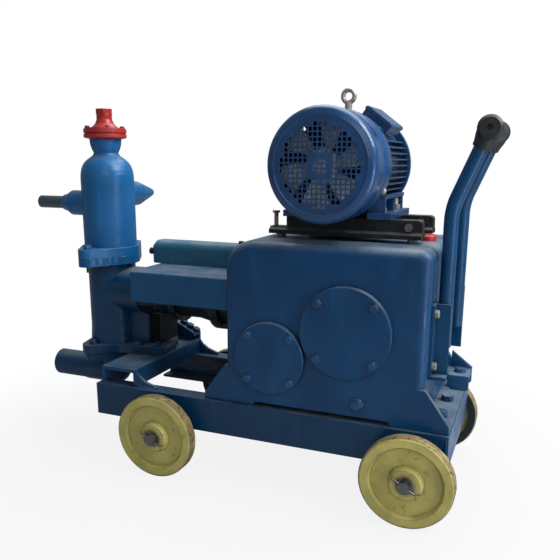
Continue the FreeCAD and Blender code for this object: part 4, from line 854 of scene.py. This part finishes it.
bm = bmesh.new()
for side in (-1, 1):
    for x in SADDLE_X:
        bead(bm, [(x, side * y, RAIL_TOP) for y in SADDLE_Y], 0.0035)
    for ends in FLANGE_X:
        bead(bm, [(x, side * FLANGE_Y, RAIL_TOP + 0.001) for x in ends], 0.0032)
    for axle_x in WHEEL_X:
        for x in (axle_x - BLOCK_HALF_X, axle_x + BLOCK_HALF_X):
            bead(bm, [(x, side * y, BLOCK_Z) for y in BLOCK_Y], 0.003)
    bead(bm, [(END_X, side * END_Y, z) for z in END_Z], 0.0026, side * Y_AXIS)
piece("chassis_weld_beads", bm, NAVY, sharp=60)

bm = bmesh.new()
for side in (-1, 1):
    for ends in TUBE_WELD_Z:
        bead(bm, [(TUBE_WELD_X, side * TUBE_WELD_Y, z) for z in ends], 0.0028, X_AXIS)
    bead(bm, [(x, side * YOKE_FOOT_Y, YOKE_FOOT_Z) for x in YOKE_FOOT_X], 0.0024)
piece("handle_weld_beads", bm, NAVY, sharp=60)


# Cotter pins: legs bent open at one end, an eye at the other

PIN_Y = 0.2362
PIN_TILT = math.radians(30)
LEG_FROM = 0.0243
EYE_FROM = 0.0262
EYE_R = 0.0036
LEG = ((0.0, 0.0), (0.003, 0.0012), (0.008, 0.0048), (0.0105, 0.0105))     # along, apart

bm = bmesh.new()
along = Vector((math.cos(PIN_TILT), 0, -math.sin(PIN_TILT)))
across = Vector((math.sin(PIN_TILT), 0, math.cos(PIN_TILT)))
for x in WHEEL_X:
    for side in (-1, 1):
        centre = Vector((x, side * PIN_Y, WHEEL_R))
        for spread in (-1, 1):
            leg = [centre + along * (LEG_FROM + out) + across * spread * apart
                   for out, apart in LEG]
            bead(bm, leg, 0.0014, Y_AXIS)
        eye = centre - along * EYE_FROM
        ring = [eye - along * c + across * s for c, s in (circle(k, 12, EYE_R) for k in range(13))]
        bead(bm, ring, 0.0013, Y_AXIS)
piece("cotter_legs", bm, STEEL, sharp=60)


# Stage: pale floor that fades to the white backdrop

FLOOR_HALF = 30.0
FADE = (0.50, 1.15)
WHITE_SHARE = (0.87, 1.0)
WHITE = (1.0, 1.0, 1.0, 1.0)

bm = bmesh.new()
bmesh.ops.create_grid(bm, x_segments=1, y_segments=1, size=FLOOR_HALF)
mesh = bpy.data.meshes.new("floor")
bm.to_mesh(mesh)
bm.free()
floor = bpy.data.objects.new("floor", mesh)
scene.collection.objects.link(floor)
floor_material, tree, shader = new_material("pale_floor")
shader.inputs["Base Color"].default_value = (0.32, 0.32, 0.33, 1.0)
shader.inputs["Roughness"].default_value = 0.9
white = tree.nodes.new("ShaderNodeEmission")
white.inputs["Color"].default_value = WHITE
away = tree.nodes.new("ShaderNodeVectorMath")
away.operation = "LENGTH"
tree.links.new(place(tree), away.inputs[0])
path = tree.nodes.new("ShaderNodeLightPath")
whiten = span(tree, away.outputs["Value"], *FADE, *WHITE_SHARE)
fade = times(tree, whiten, path.outputs["Is Camera Ray"])
mix = tree.nodes.new("ShaderNodeMixShader")
tree.links.new(fade, mix.inputs["Fac"])
tree.links.new(shader.outputs["BSDF"], mix.inputs[1])
tree.links.new(white.outputs["Emission"], mix.inputs[2])
surface = next(node for node in tree.nodes if node.bl_idname == "ShaderNodeOutputMaterial")
tree.links.new(mix.outputs["Shader"], surface.inputs["Surface"])
floor.data.materials.append(floor_material)

# Light: an even fill and four softboxes; the camera sees the world as white

world = bpy.data.worlds.new("studio")
scene.world = world
world.use_nodes = True
tree = world.node_tree
tree.nodes.clear()
output = tree.nodes.new("ShaderNodeOutputWorld")
path = tree.nodes.new("ShaderNodeLightPath")
mix = tree.nodes.new("ShaderNodeMixShader")
tree.links.new(path.outputs["Is Camera Ray"], mix.inputs["Fac"])
for socket, colour, strength in ((1, (0.80, 0.90, 1.0, 1.0), 0.30), (2, WHITE, 1.0)):
    background = tree.nodes.new("ShaderNodeBackground")
    background.inputs["Color"].default_value = colour
    background.inputs["Strength"].default_value = strength
    tree.links.new(background.outputs["Background"], mix.inputs[socket])
tree.links.new(mix.outputs["Shader"], output.inputs["Surface"])

# Name, place, aim, size, power and colour
SOFTBOXES = (
    ("sky_softbox", (0.4, 0.9, 3.4), (0.0, 0.0, 0.3), (3.6, 2.8), 125.0, (0.92, 0.97, 1.0)),
    ("right_softbox", (2.9, 0.0, 3.0), (-0.1, 0.0, 0.5), (2.2, 2.2), 165.0, (0.88, 0.96, 1.0)),
    ("edge_softbox", (1.45, -0.62, 0.37), (0.45, -0.12, 0.42), (0.32, 0.80), 4.5, (0.9, 0.97, 1.0)),
    ("front_softbox", (1.6, -3.4, 2.4), (0.0, 0.0, 0.4), (2.4, 2.0), 26.0, (1.0, 1.0, 1.0)),
)
for name, at, aim, size, power, colour in SOFTBOXES:
    data = bpy.data.lights.new(name, "AREA")
    data.shape = "RECTANGLE"
    data.size, data.size_y = size
    data.energy = power
    data.color = colour
    obj = bpy.data.objects.new(name, data)
    obj.location = at
    obj.rotation_euler = (Vector(aim) - Vector(at)).to_track_quat("-Z", "Y").to_euler()
    scene.collection.objects.link(obj)


# Camera: a step to the right of the fan side, looking slightly down

CAMERA_AT = Vector((0.6883, -1.4407, 0.7424))
AZIMUTH = math.radians(21.70)
PITCH = math.radians(-13.18)
ROLL = math.radians(0.4)

camera_data = bpy.data.cameras.new("camera")
camera_data.sensor_width = 36.0
camera_data.lens = 41.66
camera_data.shift_x = -0.005
camera_data.shift_y = 0.0577
camera_data.clip_end = 60.0
camera = bpy.data.objects.new("camera", camera_data)
forward = Vector((
    -math.sin(AZIMUTH) * math.cos(PITCH), math.cos(AZIMUTH) * math.cos(PITCH), math.sin(PITCH)))
level = Vector((math.cos(AZIMUTH), math.sin(AZIMUTH), 0.0))
up = level.cross(forward)
right = level * math.cos(ROLL) + up * math.sin(ROLL)
top = up * math.cos(ROLL) - level * math.sin(ROLL)
turn = Matrix((right, top, -forward)).transposed().to_4x4()
camera.matrix_world = Matrix.Translation(CAMERA_AT) @ turn
scene.collection.objects.link(camera)
scene.camera = camera
scene.view_settings.view_transform = "Standard"
